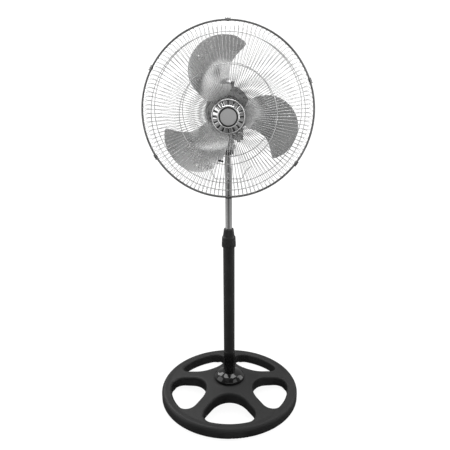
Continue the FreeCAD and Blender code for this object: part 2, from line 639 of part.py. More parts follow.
# ---- switch ----------------------------------------------------------------------------------------------
def switch_housing():
    """Switch box under the right side of the motor."""
    wall = 2.0
    motor = cylinder(MOTOR_RADIUS + 0.1, 120.0, (0, -50, HEAD_Z), Y_AXIS)
    outside = box(SWITCH_LOW, SWITCH_HIGH)
    outside = outside.makeFillet(4.0, [e for e in outside.Edges if e.CenterOfMass.z < 970.0])
    inside = box([v + wall for v in SWITCH_LOW], [v - wall for v in SWITCH_HIGH])
    inside = inside.cut(cylinder(MOTOR_RADIUS + 3.0, 120.0, (0, -50, HEAD_Z), Y_AXIS))
    shaft_hole = cylinder(3.0, 10.0, (32, 2, 972), Y_AXIS)
    gland_hole = cylinder(4.0, 10.0, (32, -18, 958))
    return outside.cut(motor).cut(inside).cut(shaft_hole).cut(gland_hole)


def speed_knob():
    """Rotary speed selector: off and three speeds."""
    y = SWITCH_HIGH[1] + 0.4
    skirt = cylinder(9.0, 2.0, (32, y, 972), Y_AXIS)
    skirt = skirt.fuse(cylinder(2.6, 4.0, (32, y - 2.2, 972), Y_AXIS))
    grip = box((29, y + 2.0, 964.5), (35, y + 11.0, 979.5))
    return skirt.fuse(grip)


def cable_gland():
    """Gland for the mains lead, under the switch box."""
    return lathe_at((32, -18), [
        (2.6, 956, 0), (6, 956, 1), (6, 962, 0), (4, 962, 0), (4, 965, 0), (2.6, 965, 0)])


def lathe_at(centre, profile):
    shape = lathe_z(profile)
    shape.translate(FreeCAD.Vector(centre[0], centre[1], 0))
    return shape


# ---- blades ----------------------------------------------------------------------------------------------
def smooth(value):
    value = min(1.0, max(0.0, value))
    return value * value * (3.0 - 2.0 * value)


def blade_sweep(radius):
    """Angle of the blade's middle line at a radius, in degrees ahead of its hooked tip."""
    return 41.0 - 25.0 * smooth((radius - 90.0) / 150.0) - 4.0 * smooth((radius - 60.0) / 150.0)


def crease_drop(radius, angle):
    """On the tip's side of the pressed crease the sheet leans back; the fold softens and fades outwards."""
    start = flat_place(*CREASE_START)
    along = flat_place(*CREASE_END) - start
    along.normalize()
    past = along.cross(start - flat_place(radius, angle)).z
    softness = 3.0 + 12.0 * smooth((radius - 90.0) / 60.0)
    fold = (past + math.hypot(past, softness)) / 2.0
    strength = smooth((radius - 79.0) / 12.0) * (1.0 - smooth((radius - 110.0) / 75.0))
    return CREASE_SLOPE * strength * fold


def flat_place(radius, angle):
    return FreeCAD.Vector(radius * math.cos(math.radians(angle)), radius * math.sin(math.radians(angle)), 0)


def blade_height(radius, angle):
    """How far the sheet stands in front of the spider, flat at the root and pitched towards the tip."""
    across = radius * math.radians(angle - blade_sweep(radius))
    twist = smooth((radius - BLADE_FLAT_RADIUS) / 80.0)
    pitch = math.tan(math.radians(BLADE_PITCH)) * twist
    camber = BLADE_CAMBER * twist * (1.0 - (across / 80.0) ** 2)
    return across * pitch - camber - crease_drop(radius, angle)


def blade_outline():
    """Edge of one blade in its own plane: polar points (radius, angle ahead of the hooked tip)."""
    trailing = ((48, 58), (66, 74), (101, 71.5), (139, 64.5), (167, 55.5), (189, 45.5), (206, 33), (212, 20),
                (210, 9), (203, 3))
    leading = ((193, -1.5), (177, 1), (160, 5), (133, 10), (100, 11.5), (66, 7), (48, 22))
    edges = []
    first = [on_head(r, a, -300.0) for r, a in trailing]
    second = [on_head(r, a, -300.0) for r, a in leading]
    tip = on_head(199.0, -1.2, -300.0)
    edges.append(spline(first))
    edges.append(Part.Arc(first[-1], tip, second[0]).toShape())
    edges.append(spline(second))
    edges.append(Part.Arc(second[-1], on_head(44.0, 40, -300.0), first[0]).toShape())
    return Part.Face(Part.Wire(edges)).extrude(Y_AXIS * 300.0)


def spline(points):
    curve = Part.BSplineCurve()
    curve.interpolate(points)
    return curve.toShape()


def blade_sheet():
    """The pitched sheet before it is cut to the blade's outline."""
    radii = [30.0 + 10.0 * i for i in range(21)]
    angles = [-12.0 + 6.0 * i for i in range(17)]
    rows = [[on_head(r, a, BLADE_PLANE - blade_height(r, a)) for a in angles] for r in radii]
    surface = Part.BSplineSurface()
    surface.interpolate(rows)
    return surface.toShape().extrude(Y_AXIS * -BLADE_THICKNESS)


def blades():
    blade = blade_sheet().common(blade_outline())
    holes = [cylinder(2.5, 60.0, on_head(RIVET_CIRCLE, a, BLADE_PLANE - 40.0), Y_AXIS) for a in RIVET_ANGLES]
    radius, angle = BALANCE_HOLE
    place = on_head(radius, angle, BLADE_PLANE - blade_height(radius, angle) - 10.0)
    holes.append(cylinder(2.0, 20.0, place, Y_AXIS))
    return around_head(blade.cut(group(holes)), BLADE_TIP_ANGLES)


def blade_spider():
    """Central plate behind the blades, with an arm under each root."""
    plate = cylinder(46.0, 2.0, (0, BLADE_PLANE, HEAD_Z), Y_AXIS)
    arm = cylinder(78.0, 2.0, (0, BLADE_PLANE, HEAD_Z), Y_AXIS)
    wedge = Part.Face(Part.makePolygon([on_head(r, a, BLADE_PLANE - 1.0) for r, a in
                                        ((1, 38), (130, 14), (130, 62), (1, 38))])).extrude(Y_AXIS * 5.0)
    arms = around_head(arm.common(wedge), BLADE_TIP_ANGLES)
    spider = plate.fuse(arms).removeSplitter()
    holes = [cylinder(2.5, 6.0, on_head(RIVET_CIRCLE, a, BLADE_PLANE - 1.0), Y_AXIS)
             for a in RIVET_ANGLES]
    for hole in holes:
        spider = spider.cut(group(around_head(hole, BLADE_TIP_ANGLES)))
    return spider.cut(cylinder(SHAFT_RADIUS, 10.0, (0, BLADE_PLANE - 2.0, HEAD_Z), Y_AXIS))


def blade_rivets():
    rivets = []
    for a in RIVET_ANGLES:
        lift = blade_height(RIVET_CIRCLE, a)
        front = BLADE_PLANE - max(lift, 0.0) - BLADE_THICKNESS - 1.6
        shank = cylinder(2.5, BLADE_PLANE + 2.0 - front, on_head(RIVET_CIRCLE, a, front), Y_AXIS)
        tail = cylinder(4.0, 1.4, on_head(RIVET_CIRCLE, a, BLADE_PLANE + 2.0), Y_AXIS)
        rivets += around_head(shank.fuse(tail), BLADE_TIP_ANGLES)
    return group(rivets)


def blade_hub():
    """Turned boss on the shaft, behind the spider."""
    return lathe_y([
        (SHAFT_RADIUS, BLADE_PLANE + 2, 0), (26, BLADE_PLANE + 2, 1), (26, BLADE_PLANE + 6, 1),
        (13, BLADE_PLANE + 8, 0), (11, BLADE_PLANE + 26, 1), (SHAFT_RADIUS, BLADE_PLANE + 26, 0)])


def blade_nut():
    """Domed plastic nut that holds the blades on the shaft."""
    front = BLADE_PLANE - 2.0
    return lathe_y([
        (0, front - 28, 0), (9, front - 28, 5), (12, front - 12, 4), (22, front - 8, 3), (22, front, 0),
        (SHAFT_RADIUS, front, 0), (SHAFT_RADIUS, front - 24, 0), (0, front - 24, 0)])


# ---- guards ----------------------------------------------------------------------------------------------
def spoke_path(corners, bends):
    points = [FreeCAD.Vector(r, y, HEAD_Z) for r, y in corners]
    return rounded_path(points, bends)


def spoke_angles():
    step = 360.0 / SPOKE_COUNT
    return even_angles(SPOKE_COUNT, step / 2.0)


def near_bottom(angle):
    return abs(angle - 270.0) < WINDOW_HALF_ANGLE


def front_guard_spokes():
    spoke = wire_along(spoke_path(FRONT_SPOKE, FRONT_BENDS), SPOKE_WIRE)
    return group(around_head(spoke, spoke_angles()))


def rear_guard_spokes():
    """Rear spokes; those by the pole are in two pieces, with an open window between them."""
    spoke = wire_along(spoke_path(REAR_SPOKE, REAR_BENDS), SPOKE_WIRE)
    inner = spoke.common(cylinder(WINDOW_INNER + 2.0, 300.0, (0, -200, HEAD_Z), Y_AXIS))
    outer = spoke.cut(cylinder(WINDOW_OUTER - 2.0, 300.0, (0, -200, HEAD_Z), Y_AXIS))
    whole = [a for a in spoke_angles() if not near_bottom(a)]
    cut_short = [a for a in spoke_angles() if near_bottom(a)]
    wires = around_head(spoke, whole) + around_head(inner, cut_short) + around_head(outer, cut_short)
    return group(wires)


def spoke_at(corners, bends, radius):
    """A spoke's place along Y and its slope at this radius."""
    points = spoke_path(corners, bends).discretize(Distance=1.0)
    for start, end in zip(points, points[1:]):
        if start.x <= radius <= end.x:
            slope = (end.y - start.y) / (end.x - start.x)
            return start.y + slope * (radius - start.x), slope
    raise ValueError(radius)


def guard_ring(corners, bends, radius):
    """A ring wire that touches the rear side of the spokes."""
    y, slope = spoke_at(corners, bends, radius)
    length = math.hypot(1.0, slope)
    offset = SPOKE_WIRE + RING_WIRE
    return head_ring(radius - offset * slope / length, y + offset / length, RING_WIRE)


def front_guard_rings():
    """The front guard's rim and its inner rings."""
    rim = head_ring(RIM_RADIUS, RIM_FRONT_Y, RIM_WIRE)
    return group([rim] + [guard_ring(FRONT_SPOKE, FRONT_BENDS, radius) for radius in FRONT_RINGS])


def rear_guard_rings():
    """The rear guard's rim, its inner rings and the window wire."""
    rim = head_ring(RIM_RADIUS, RIM_REAR_Y, RIM_WIRE)
    return group([rim, window_wire()] + [guard_ring(REAR_SPOKE, REAR_BENDS, radius) for radius in REAR_RINGS])


def window_wire():
    """U-shaped wire that edges the window round the pole."""
    y = REAR_SPOKE[1][1] - SPOKE_WIRE - RING_WIRE
    half = ((74.0, -166.0), (56.0, -180.0), (42.0, -WINDOW_OUTER))
    left = [FreeCAD.Vector(-x, y, HEAD_Z + z) for x, z in half]
    right = [FreeCAD.Vector(x, y, HEAD_Z + z) for x, z in reversed(half)]
    return wire_along(rounded_path(left + right, (14, 8, 8, 14)), RING_WIRE)


def wire_tie():
    """Small plastic clip on the front guard, across its spokes."""
    y = spoke_at(FRONT_SPOKE, FRONT_BENDS, TIE_RADIUS)[0] - SPOKE_WIRE - 0.4
    bar = box((TIE_RADIUS - 2.0, y - 2.2, HEAD_Z - 5), (TIE_RADIUS + 2.0, y, HEAD_Z + 5))
    ends = [cylinder(3.0, 2.6, (TIE_RADIUS, y - 2.6, HEAD_Z + z), Y_AXIS) for z in (-5.0, 5.0)]
    return around_head(bar.fuse(ends), [TIE_ANGLE])[0]


def guard_plate():
    """Pressed plate that carries the rear spokes, screwed to the motor's face."""
    plate = hollow(67.0, 44.0, 2.8, (0, MOTOR_FRONT - 3.0, HEAD_Z), Y_AXIS)
    hole = cylinder(2.2, 10.0, (50.0, MOTOR_FRONT - 5.0, HEAD_Z), Y_AXIS)
    return plate.cut(group(around_head(hole, even_angles(4, 45.0))))


def guard_screws():
    y = MOTOR_FRONT - 5.2
    screw = cylinder(4.5, 2.2, (50.0, y, HEAD_Z), Y_AXIS).fuse(cylinder(2.2, 5.0, (50.0, y, HEAD_Z), Y_AXIS))
    slot = box((45, y - 1, HEAD_Z - 0.5), (55, y + 0.8, HEAD_Z + 0.5))
    return group(around_head(screw.cut(slot), even_angles(4, 45.0)))


def guard_clip(angle):
    """Spring clip hooked on the rear rim that snaps over the front rim."""
    inner = RIM_WIRE + 0.4
    outer = inner + CLIP_WALL
    finger = 3.5
    axis_start = FreeCAD.Vector(RIM_RADIUS, RIM_REAR_Y, HEAD_Z)
    hook = cylinder(outer, 2 * finger, axis_start - Z_AXIS * finger).cut(
        cylinder(inner, 2 * finger, axis_start - Z_AXIS * finger))
    mouth = [(0, 0), (10.4, -6), (10.4, -12), (-12, -12), (-12, 4.85)]
    ring = [FreeCAD.Vector(RIM_RADIUS + x, RIM_REAR_Y + y, HEAD_Z - 10) for x, y in mouth]
    away = Part.Face(Part.makePolygon(ring + [ring[0]])).extrude(Z_AXIS * 20.0)
    hook = hook.cut(away)
    half = CLIP_WIDTH / 2.0
    front = RIM_FRONT_Y - RIM_WIRE - 0.6
    plate = box((RIM_RADIUS + inner, front, HEAD_Z - half), (RIM_RADIUS + outer, RIM_REAR_Y, HEAD_Z + half))
    edge = RIM_RADIUS + outer
    rib = box((edge, front, HEAD_Z - 1.2), (edge + 1.2, RIM_REAR_Y, HEAD_Z + 1.2))
    ribs = [rib.translated(Z_AXIS * (half - 1.2) * side) for side in (-1.0, 0.0, 1.0)]
    lip = box((RIM_RADIUS - 0.5, front - CLIP_WALL, HEAD_Z - half), (edge, front, HEAD_Z + half))
    clip = plate.fuse([lip, hook] + ribs)
    return around_head(clip, [angle])[0]


def front_cap():
    """Plated centre cap: a bead, a ring of slots, and a lip round the well that holds the badge."""
    well = CAP_FACE + 4.0
    skin = 3.0
    cap = lathe_y([
        (CAP_RADIUS - 1.0, CAP_BACK, 0), (CAP_RADIUS, CAP_BACK - 3.5, 2),
        (CAP_RADIUS - 4.5, CAP_BACK - 7.0, 3),
        (31.5, CAP_FACE, 2.5), (28.0, CAP_FACE, 1), (27.3, well, 0), (0, well, 0), (0, well + skin, 0),
        (28.5, well + skin, 0), (CAP_RADIUS - 6.0, CAP_BACK - 3.0, 0), (CAP_RADIUS - 6.0, CAP_BACK, 0)])
    slot = box((31.0, CAP_FACE - 5.0, HEAD_Z - 2.0), (CAP_RADIUS - 5.0, CAP_BACK + 1.0, HEAD_Z + 2.0))
    return cap.cut(group(around_head(slot, even_angles(CAP_SLOTS))))


def front_badge():
    """Plain round badge in the middle of the cap."""
    back = CAP_FACE + 4.0
    front = back - 5.5
    return lathe_y([(0, back, 0), (BADGE_RADIUS, back, 0), (BADGE_RADIUS, front, 1.2), (0, front, 0)])


# ---- every node ------------------------------------------------------------------------------------------
def stand_nodes():
    return {
        "base_shell": base_shell(), "base_ballast": base_ballast(), "base_underplate": base_underplate(),
        "rubber_feet": rubber_feet(), "tube_flange": tube_flange(), "base_nut": base_nut(),
        "dome_cover": dome_cover(), "foot_sleeve": foot_sleeve(), "lower_tube": lower_tube(),
        "tube_insert": tube_insert(), "grip_jaws": grip_jaws(), "height_lock_nut": height_lock_nut(),
        "upper_tube": upper_tube(), "slide_bush": slide_bush(), "neck_socket": neck_socket(),
        "neck_screw": neck_screw(), "tilt_bolt": tilt_bolt(), "tilt_nut": tilt_nut(),
        "tilt_bracket": tilt_bracket(),
    }


def motor_nodes():
    return {
        "swivel_socket": swivel_socket(), "motor_front_cover": motor_front_cover(),
        "motor_rear_cover": motor_rear_cover(), "stator_core": stator_core(),
        "stator_windings": stator_windings(), "motor_bearings": motor_bearings(),
        "rotor_core": rotor_core(), "motor_shaft": motor_shaft(),
        "gearbox_housing": gearbox_half(False), "gearbox_cover": gearbox_half(True),
        "gearbox_screws": gearbox_screws(), "worm_wheel": worm_wheel(), "crank_spindle": crank_spindle(),
        "connecting_rod": connecting_rod(), "oscillation_knob": oscillation_knob(),
        "switch_housing": switch_housing(), "run_capacitor": run_capacitor(), "speed_knob": speed_knob(),
        "cable_gland": cable_gland(),
    }


def fan_nodes():
    nodes = {
        "blade_spider": blade_spider(), "blade_rivets": blade_rivets(), "blade_hub": blade_hub(),
        "blade_nut": blade_nut(), "guard_plate": guard_plate(), "guard_screws": guard_screws(),
        "front_guard_spokes": front_guard_spokes(), "rear_guard_spokes": rear_guard_spokes(),
        "front_guard_rings": front_guard_rings(), "rear_guard_rings": rear_guard_rings(),
        "wire_tie": wire_tie(), "front_cap": front_cap(), "front_badge": front_badge(),
    }
    for number, blade in enumerate(blades(), 1):
        nodes["blade_" + str(number)] = blade
    for number, angle in enumerate(CLIP_ANGLES, 1):
        nodes["guard_clip_" + str(number)] = guard_clip(angle)
    return nodes


def main():
    os.makedirs("parts", exist_ok=True)
    nodes = {**stand_nodes(), **motor_nodes(), **fan_nodes()}
    for name, shape in nodes.items():
        shape.exportStep("parts/" + name + ".step")
        print(name, "solids", len(shape.Solids), "volume", round(shape.Volume), "valid", shape.isValid())
    print(len(nodes), "nodes")


main()
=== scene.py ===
import json
import math

import bmesh
import bpy
from mathutils import Matrix, Vector


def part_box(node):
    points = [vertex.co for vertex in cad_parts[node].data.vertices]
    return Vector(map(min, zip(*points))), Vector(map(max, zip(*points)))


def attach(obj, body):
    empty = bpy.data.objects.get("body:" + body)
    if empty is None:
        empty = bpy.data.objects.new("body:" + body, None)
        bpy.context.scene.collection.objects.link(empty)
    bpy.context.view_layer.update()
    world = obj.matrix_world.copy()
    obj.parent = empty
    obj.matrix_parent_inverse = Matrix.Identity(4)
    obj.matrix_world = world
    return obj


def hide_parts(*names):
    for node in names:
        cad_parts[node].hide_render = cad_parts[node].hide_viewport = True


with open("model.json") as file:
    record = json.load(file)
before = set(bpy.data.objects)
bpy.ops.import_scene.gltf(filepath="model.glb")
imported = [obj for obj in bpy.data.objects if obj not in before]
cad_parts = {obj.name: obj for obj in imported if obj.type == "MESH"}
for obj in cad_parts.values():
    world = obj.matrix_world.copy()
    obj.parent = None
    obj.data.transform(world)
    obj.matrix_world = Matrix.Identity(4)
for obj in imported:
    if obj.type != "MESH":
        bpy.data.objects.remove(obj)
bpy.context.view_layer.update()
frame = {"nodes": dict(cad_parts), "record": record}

# A pedestal fan in a white studio. Lengths are in metres unless a comment says otherwise, in the frame of the
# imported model: the origin is on the floor under the pole, +Z is up, and the fan blows towards -Y. "Ahead" is
# anticlockwise, seen from the front.

MM = 0.001


def middle(node):
    low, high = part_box(node)
    return (low + high) / 2.0


HEAD = middle("motor_shaft")                     # the motor axis runs along Y through this point
RIM_LOW, RIM_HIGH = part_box("front_guard_rings")
REAR_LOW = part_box("rear_guard_rings")[0]


# ---- camera, light and floor -----------------------------------------------------------------------------
CAMERA_PLACE = (0.0, -1.631, 1.207)
CAMERA_TILT = 20.7                               # degrees below the horizon
CAMERA_ROLL = -0.25                              # degrees
CAMERA_LENS = 40.8                               # millimetres, on the sensor below
CAMERA_SENSOR = 36.0
CAMERA_SHIFT = (-0.0085, 0.0533)                 # part of the frame's width


# Soft boxes: name, place, target, width and height, watts. There is one at each side, one overhead, one
# behind, and three in front: a wide one level with the head, a weak one high up and one at the right.
SOFT_BOXES = (
    ("key_left", (-2.4, -0.2, 1.7), (0, 0, 0.8), (1.8, 1.8), 16.0),
    ("fill_right", (1.9, 0.5, 1.3), (0, 0, 0.8), (1.0, 1.8), 14.0),
    ("overhead", (0.1, 0.5, 3.0), (0, 0, 0.3), (2.4, 1.8), 55.0),
    ("back_left", (-1.6, 1.6, 1.9), (0, 0, 0.9), (1.0, 1.6), 22.0),
    ("front_head", (0.3, -2.6, 1.3), (0.3, 0, 1.3), (3.6, 1.2), 17.5),
    ("front_high", (-0.7, -1.7, 3.0), (0, 0, 1.05), (1.5, 1.5), 1.4),
    ("front_right", (2.3, -2.0, 2.3), (0, 0, 1.05), (1.6, 1.4), 9.0),
)

WHITE = (1.0, 1.0, 1.0, 1.0)
SEEN_STRENGTH = 1.15                             # the background, to the eye
LIT_STRENGTH = 0.55                              # the background, as a light
WORLD_FRONT = (0.15, 0.21)                       # place on the ramp, brightness
WORLD_BACK = (0.75, 1.0)

FLOOR_RADIUS = 40.0
FLOOR_SIDES = 96
FLOOR_COLOUR = (0.8, 0.8, 0.8, 1.0)
FLOOR_ROUGHNESS = 0.9
FLOOR_GLOW = 1.12
FLOOR_MIRRORED = (0.13, 0.6)                     # what glossy surfaces see, under the fan and at the sides
FLOOR_MIRRORED_REACH = 3.0                       # metres sideways between the two
FLOOR_GLOW_FROM = (0.35, 0.82)                   # distance from the pole, share of glow
FLOOR_GLOW_TO = (1.2, 1.0)


def link(thing):
    bpy.context.scene.collection.objects.link(thing)
    return thing


def add_camera():
    camera = bpy.data.cameras.new("camera")
    camera.lens = CAMERA_LENS
    camera.sensor_width = CAMERA_SENSOR
    camera.shift_x, camera.shift_y = CAMERA_SHIFT
    holder = link(bpy.data.objects.new("camera", camera))
    aim = Matrix.Rotation(math.radians(90.0 - CAMERA_TILT), 4, "X")
    roll = Matrix.Rotation(math.radians(CAMERA_ROLL), 4, "Z")
    holder.matrix_world = Matrix.Translation(CAMERA_PLACE) @ aim @ roll
    bpy.context.scene.camera = holder


def add_area_light(name, place, target, size, power):
    light = bpy.data.lights.new(name, "AREA")
    light.shape = "RECTANGLE"
    light.size, light.size_y = size
    light.energy = power
    holder = link(bpy.data.objects.new(name, light))
    holder.location = place
    direction = Vector(target) - Vector(place)
    holder.rotation_euler = direction.to_track_quat("-Z", "Y").to_euler()


def add_lights():
    for box in SOFT_BOXES:
        add_area_light(*box)


def add_world():
    """White to the eye; as a light it is bright behind the fan and dim in front of it."""
    world = bpy.data.worlds.new("studio")
    bpy.context.scene.world = world
    world.use_nodes = True
    nodes = world.node_tree.nodes
    links = world.node_tree.links
    seen = nodes["Background"]
    seen.inputs["Color"].default_value = WHITE
    seen.inputs["Strength"].default_value = SEEN_STRENGTH
    lit = nodes.new("ShaderNodeBackground")
    lit.inputs["Strength"].default_value = LIT_STRENGTH
    place = nodes.new("ShaderNodeTexCoord")
    parts = nodes.new("ShaderNodeSeparateXYZ")
    links.new(place.outputs["Generated"], parts.inputs["Vector"])
    ramp = nodes.new("ShaderNodeValToRGB")
    for element, (place_on_ramp, brightness) in zip(ramp.color_ramp.elements, (WORLD_FRONT, WORLD_BACK)):
        element.position = place_on_ramp
        element.color = (*grey(brightness), 1.0)
    links.new(remap(nodes, links, parts.outputs["Y"], -1.0, 1.0, 0.0, 1.0), ramp.inputs["Fac"])
    links.new(ramp.outputs["Color"], lit.inputs["Color"])
    choose = nodes.new("ShaderNodeMixShader")
    links.new(nodes.new("ShaderNodeLightPath").outputs["Is Camera Ray"], choose.inputs["Fac"])
    links.new(lit.outputs["Background"], choose.inputs[1])
    links.new(seen.outputs["Background"], choose.inputs[2])
    links.new(choose.outputs["Shader"], nodes["World Output"].inputs["Surface"])


def add_floor():
    """A wide pale floor. To the eye it glows, least near the base, so that it runs into the white background.
    Glossy surfaces see it dim under the fan and lighter at the sides."""
    angles = [math.tau * i / FLOOR_SIDES for i in range(FLOOR_SIDES)]
    points = [(FLOOR_RADIUS * math.cos(angle), FLOOR_RADIUS * math.sin(angle), 0.0) for angle in angles]
    mesh = bpy.data.meshes.new("floor")
    mesh.from_pydata(points, [], [tuple(range(FLOOR_SIDES))])
    floor = link(bpy.data.objects.new("floor", mesh))
    made, nodes, links, shader = new_material("floor")
    shader.inputs["Base Color"].default_value = FLOOR_COLOUR
    shader.inputs["Roughness"].default_value = FLOOR_ROUGHNESS
    dim = nodes.new("ShaderNodeBsdfDiffuse")
    place = nodes.new("ShaderNodeTexCoord")
    parts = nodes.new("ShaderNodeSeparateXYZ")
    links.new(place.outputs["Object"], parts.inputs["Vector"])
    sideways = nodes.new("ShaderNodeMath")
    sideways.operation = "ABSOLUTE"
    links.new(parts.outputs["X"], sideways.inputs[0])
    strip = remap(nodes, links, sideways.outputs["Value"], 0.0, FLOOR_MIRRORED_REACH, 0.0, 1.0)
    under, aside = FLOOR_MIRRORED
    links.new(between(nodes, links, strip, grey(under), grey(aside)), dim.inputs["Color"])
    glow = nodes.new("ShaderNodeEmission")
    glow.inputs["Strength"].default_value = FLOOR_GLOW
    path = nodes.new("ShaderNodeLightPath")
    mirrored = nodes.new("ShaderNodeMixShader")
    links.new(path.outputs["Is Glossy Ray"], mirrored.inputs["Fac"])
    links.new(shader.outputs["BSDF"], mirrored.inputs[1])
    links.new(dim.outputs["BSDF"], mirrored.inputs[2])
    away = nodes.new("ShaderNodeVectorMath")
    away.operation = "LENGTH"
    links.new(place.outputs["Object"], away.inputs[0])
    amount = nodes.new("ShaderNodeMath")
    amount.operation = "MULTIPLY"
    links.new(path.outputs["Is Camera Ray"], amount.inputs[0])
    near, near_share = FLOOR_GLOW_FROM
    far, far_share = FLOOR_GLOW_TO
    share = remap(nodes, links, away.outputs["Value"], near, far, near_share, far_share)
    links.new(share, amount.inputs[1])
    seen = nodes.new("ShaderNodeMixShader")
    links.new(amount.outputs["Value"], seen.inputs["Fac"])
    links.new(mirrored.outputs["Shader"], seen.inputs[1])
    links.new(glow.outputs["Emission"], seen.inputs[2])
    links.new(seen.outputs["Shader"], nodes["Material Output"].inputs["Surface"])
    mesh.materials.append(made)


# ---- materials -------------------------------------------------------------------------------------------
NOISE_LOW, NOISE_HIGH = 0.35, 0.65               # most of a noise texture's values lie between these
BLADE_GRAIN_SCALE = 2600.0
BLADE_GRAIN_LOW, BLADE_GRAIN_HIGH = 0.3, 0.7
# Painted shade on the guard wires: their colour is darkest within the first distance and full beyond the
# second.
PAINTED_SHADE_WIRE_FROM = 0.06                            # distance from the motor's axis, in metres
PAINTED_SHADE_WIRE_TO = 0.11


def new_material(name):
    made = bpy.data.materials.new(name)
    made.use_nodes = True
    nodes = made.node_tree.nodes
    return made, nodes, made.node_tree.links, nodes["Principled BSDF"]


def noise(nodes, links, scale, detail=4.0, stretch=(1.0, 1.0, 1.0)):
    """Noise in the model's metres, stretched along an axis for grain."""
    place = nodes.new("ShaderNodeTexCoord")
    spread = nodes.new("ShaderNodeMapping")
    spread.inputs["Scale"].default_value = stretch
    texture = nodes.new("ShaderNodeTexNoise")
    texture.inputs["Scale"].default_value = scale
    texture.inputs["Detail"].default_value = detail
    links.new(place.outputs["Object"], spread.inputs["Vector"])
    links.new(spread.outputs["Vector"], texture.inputs["Vector"])
    return texture.outputs["Fac"]


def remap(nodes, links, value, low, high, to_low, to_high):
    change = nodes.new("ShaderNodeMapRange")
    change.inputs["From Min"].default_value = low
    change.inputs["From Max"].default_value = high
    change.inputs["To Min"].default_value = to_low
    change.inputs["To Max"].default_value = to_high
    links.new(value, change.inputs["Value"])
    return change.outputs["Result"]


def between(nodes, links, value, dark, light):
    mix = nodes.new("ShaderNodeMix")
    mix.data_type = "RGBA"
    mix.inputs["A"].default_value = (*dark, 1.0)
    mix.inputs["B"].default_value = (*light, 1.0)
    links.new(value, mix.inputs["Factor"])
    return mix.outputs["Result"]


def add_bump(nodes, links, shader, height, strength, distance):
    bump = nodes.new("ShaderNodeBump")
    bump.inputs["Strength"].default_value = strength
    bump.inputs["Distance"].default_value = distance
    links.new(height, bump.inputs["Height"])
    links.new(bump.outputs["Normal"], shader.inputs["Normal"])


def plastic(name, dark, light, rough, grain=0.25, grain_scale=1400.0, clouds=14.0, gloss=0.5):
    """Plastic, paint or rough casting: fine bump, cloudy colour and a roughness that follows the clouds."""
    made, nodes, links, shader = new_material(name)
    shader.inputs["Specular IOR Level"].default_value = gloss
    cloud = remap(nodes, links, noise(nodes, links, clouds, 5.0), NOISE_LOW, NOISE_HIGH, 0.0, 1.0)
    links.new(between(nodes, links, cloud, grey(dark), grey(light)), shader.inputs["Base Color"])
    links.new(remap(nodes, links, cloud, 0.0, 1.0, rough[0], rough[1]), shader.inputs["Roughness"])
    add_bump(nodes, links, shader, noise(nodes, links, grain_scale, 2.0), grain, 0.2 * MM)
    return made


def metal(name, dark, light, rough, grain=0.1, scale=220.0, stretch=(1.0, 1.0, 1.0)):
    """Bare or plated metal with grain in its colour, roughness and bump. Stretch gives it a direction."""
    made, nodes, links, shader = new_material(name)
    shader.inputs["Metallic"].default_value = 1.0
    grains = noise(nodes, links, scale, 4.0, stretch)
    lines = remap(nodes, links, grains, NOISE_LOW, NOISE_HIGH, 0.0, 1.0)
    links.new(between(nodes, links, lines, dark, light), shader.inputs["Base Color"])
    links.new(remap(nodes, links, lines, 0.0, 1.0, rough[0], rough[1]), shader.inputs["Roughness"])
    add_bump(nodes, links, shader, lines, grain, 0.1 * MM)
    return made


def off_axis(nodes, links):
    """Distance from the motor's axis, in metres."""
    place = nodes.new("ShaderNodeTexCoord")
    shift = nodes.new("ShaderNodeMapping")
    shift.inputs["Location"].default_value = (0.0, 0.0, -HEAD.z)
    shift.inputs["Scale"].default_value = (1.0, 0.0, 1.0)
    links.new(place.outputs["Object"], shift.inputs["Vector"])
    away = nodes.new("ShaderNodeVectorMath")
    away.operation = "LENGTH"
    links.new(shift.outputs["Vector"], away.inputs[0])
    return away.outputs["Value"]


def guard_metal():
    """Plated wire with painted shade: its colour darkens towards the middle of the guard, where the wires
    stand close together.
    """
    made, nodes, links, shader = new_material("guard_wire")
    shader.inputs["Metallic"].default_value = 1.0
    # Painted shade: the wires' colour darkens towards the motor's axis.
    painted_wire_shade = remap(nodes, links, off_axis(nodes, links), PAINTED_SHADE_WIRE_FROM, PAINTED_SHADE_WIRE_TO, 0.0, 1.0)
    links.new(between(nodes, links, painted_wire_shade, grey(0.45), grey(0.7)), shader.inputs["Base Color"])
    cloud = noise(nodes, links, 120.0)
    links.new(remap(nodes, links, cloud, NOISE_LOW, NOISE_HIGH, 0.2, 0.3), shader.inputs["Roughness"])
    add_bump(nodes, links, shader, cloud, 0.03, 0.1 * MM)
    return made


def brushed_blade():
    """Sheet metal brushed round the shaft: fine rings of grain, with a slow cloudiness over them."""
    made, nodes, links, shader = new_material("blade_metal")
    shader.inputs["Metallic"].default_value = 1.0
    fine = nodes.new("ShaderNodeTexNoise")
    fine.noise_dimensions = "1D"
    fine.inputs["Scale"].default_value = BLADE_GRAIN_SCALE
    fine.inputs["Detail"].default_value = 5.0
    links.new(off_axis(nodes, links), fine.inputs["W"])
    lines = remap(nodes, links, fine.outputs["Fac"], BLADE_GRAIN_LOW, BLADE_GRAIN_HIGH, 0.0, 1.0)
    cloud = remap(nodes, links, noise(nodes, links, 16.0, 3.0), NOISE_LOW, NOISE_HIGH, 0.0, 1.0)
    links.new(between(nodes, links, lines, grey(0.68), grey(0.74)), shader.inputs["Base Color"])
    links.new(remap(nodes, links, cloud, 0.0, 1.0, 0.26, 0.34), shader.inputs["Roughness"])
    add_bump(nodes, links, shader, lines, 0.02, 0.05 * MM)
    return made


def grey(value):
    return (value, value, value)


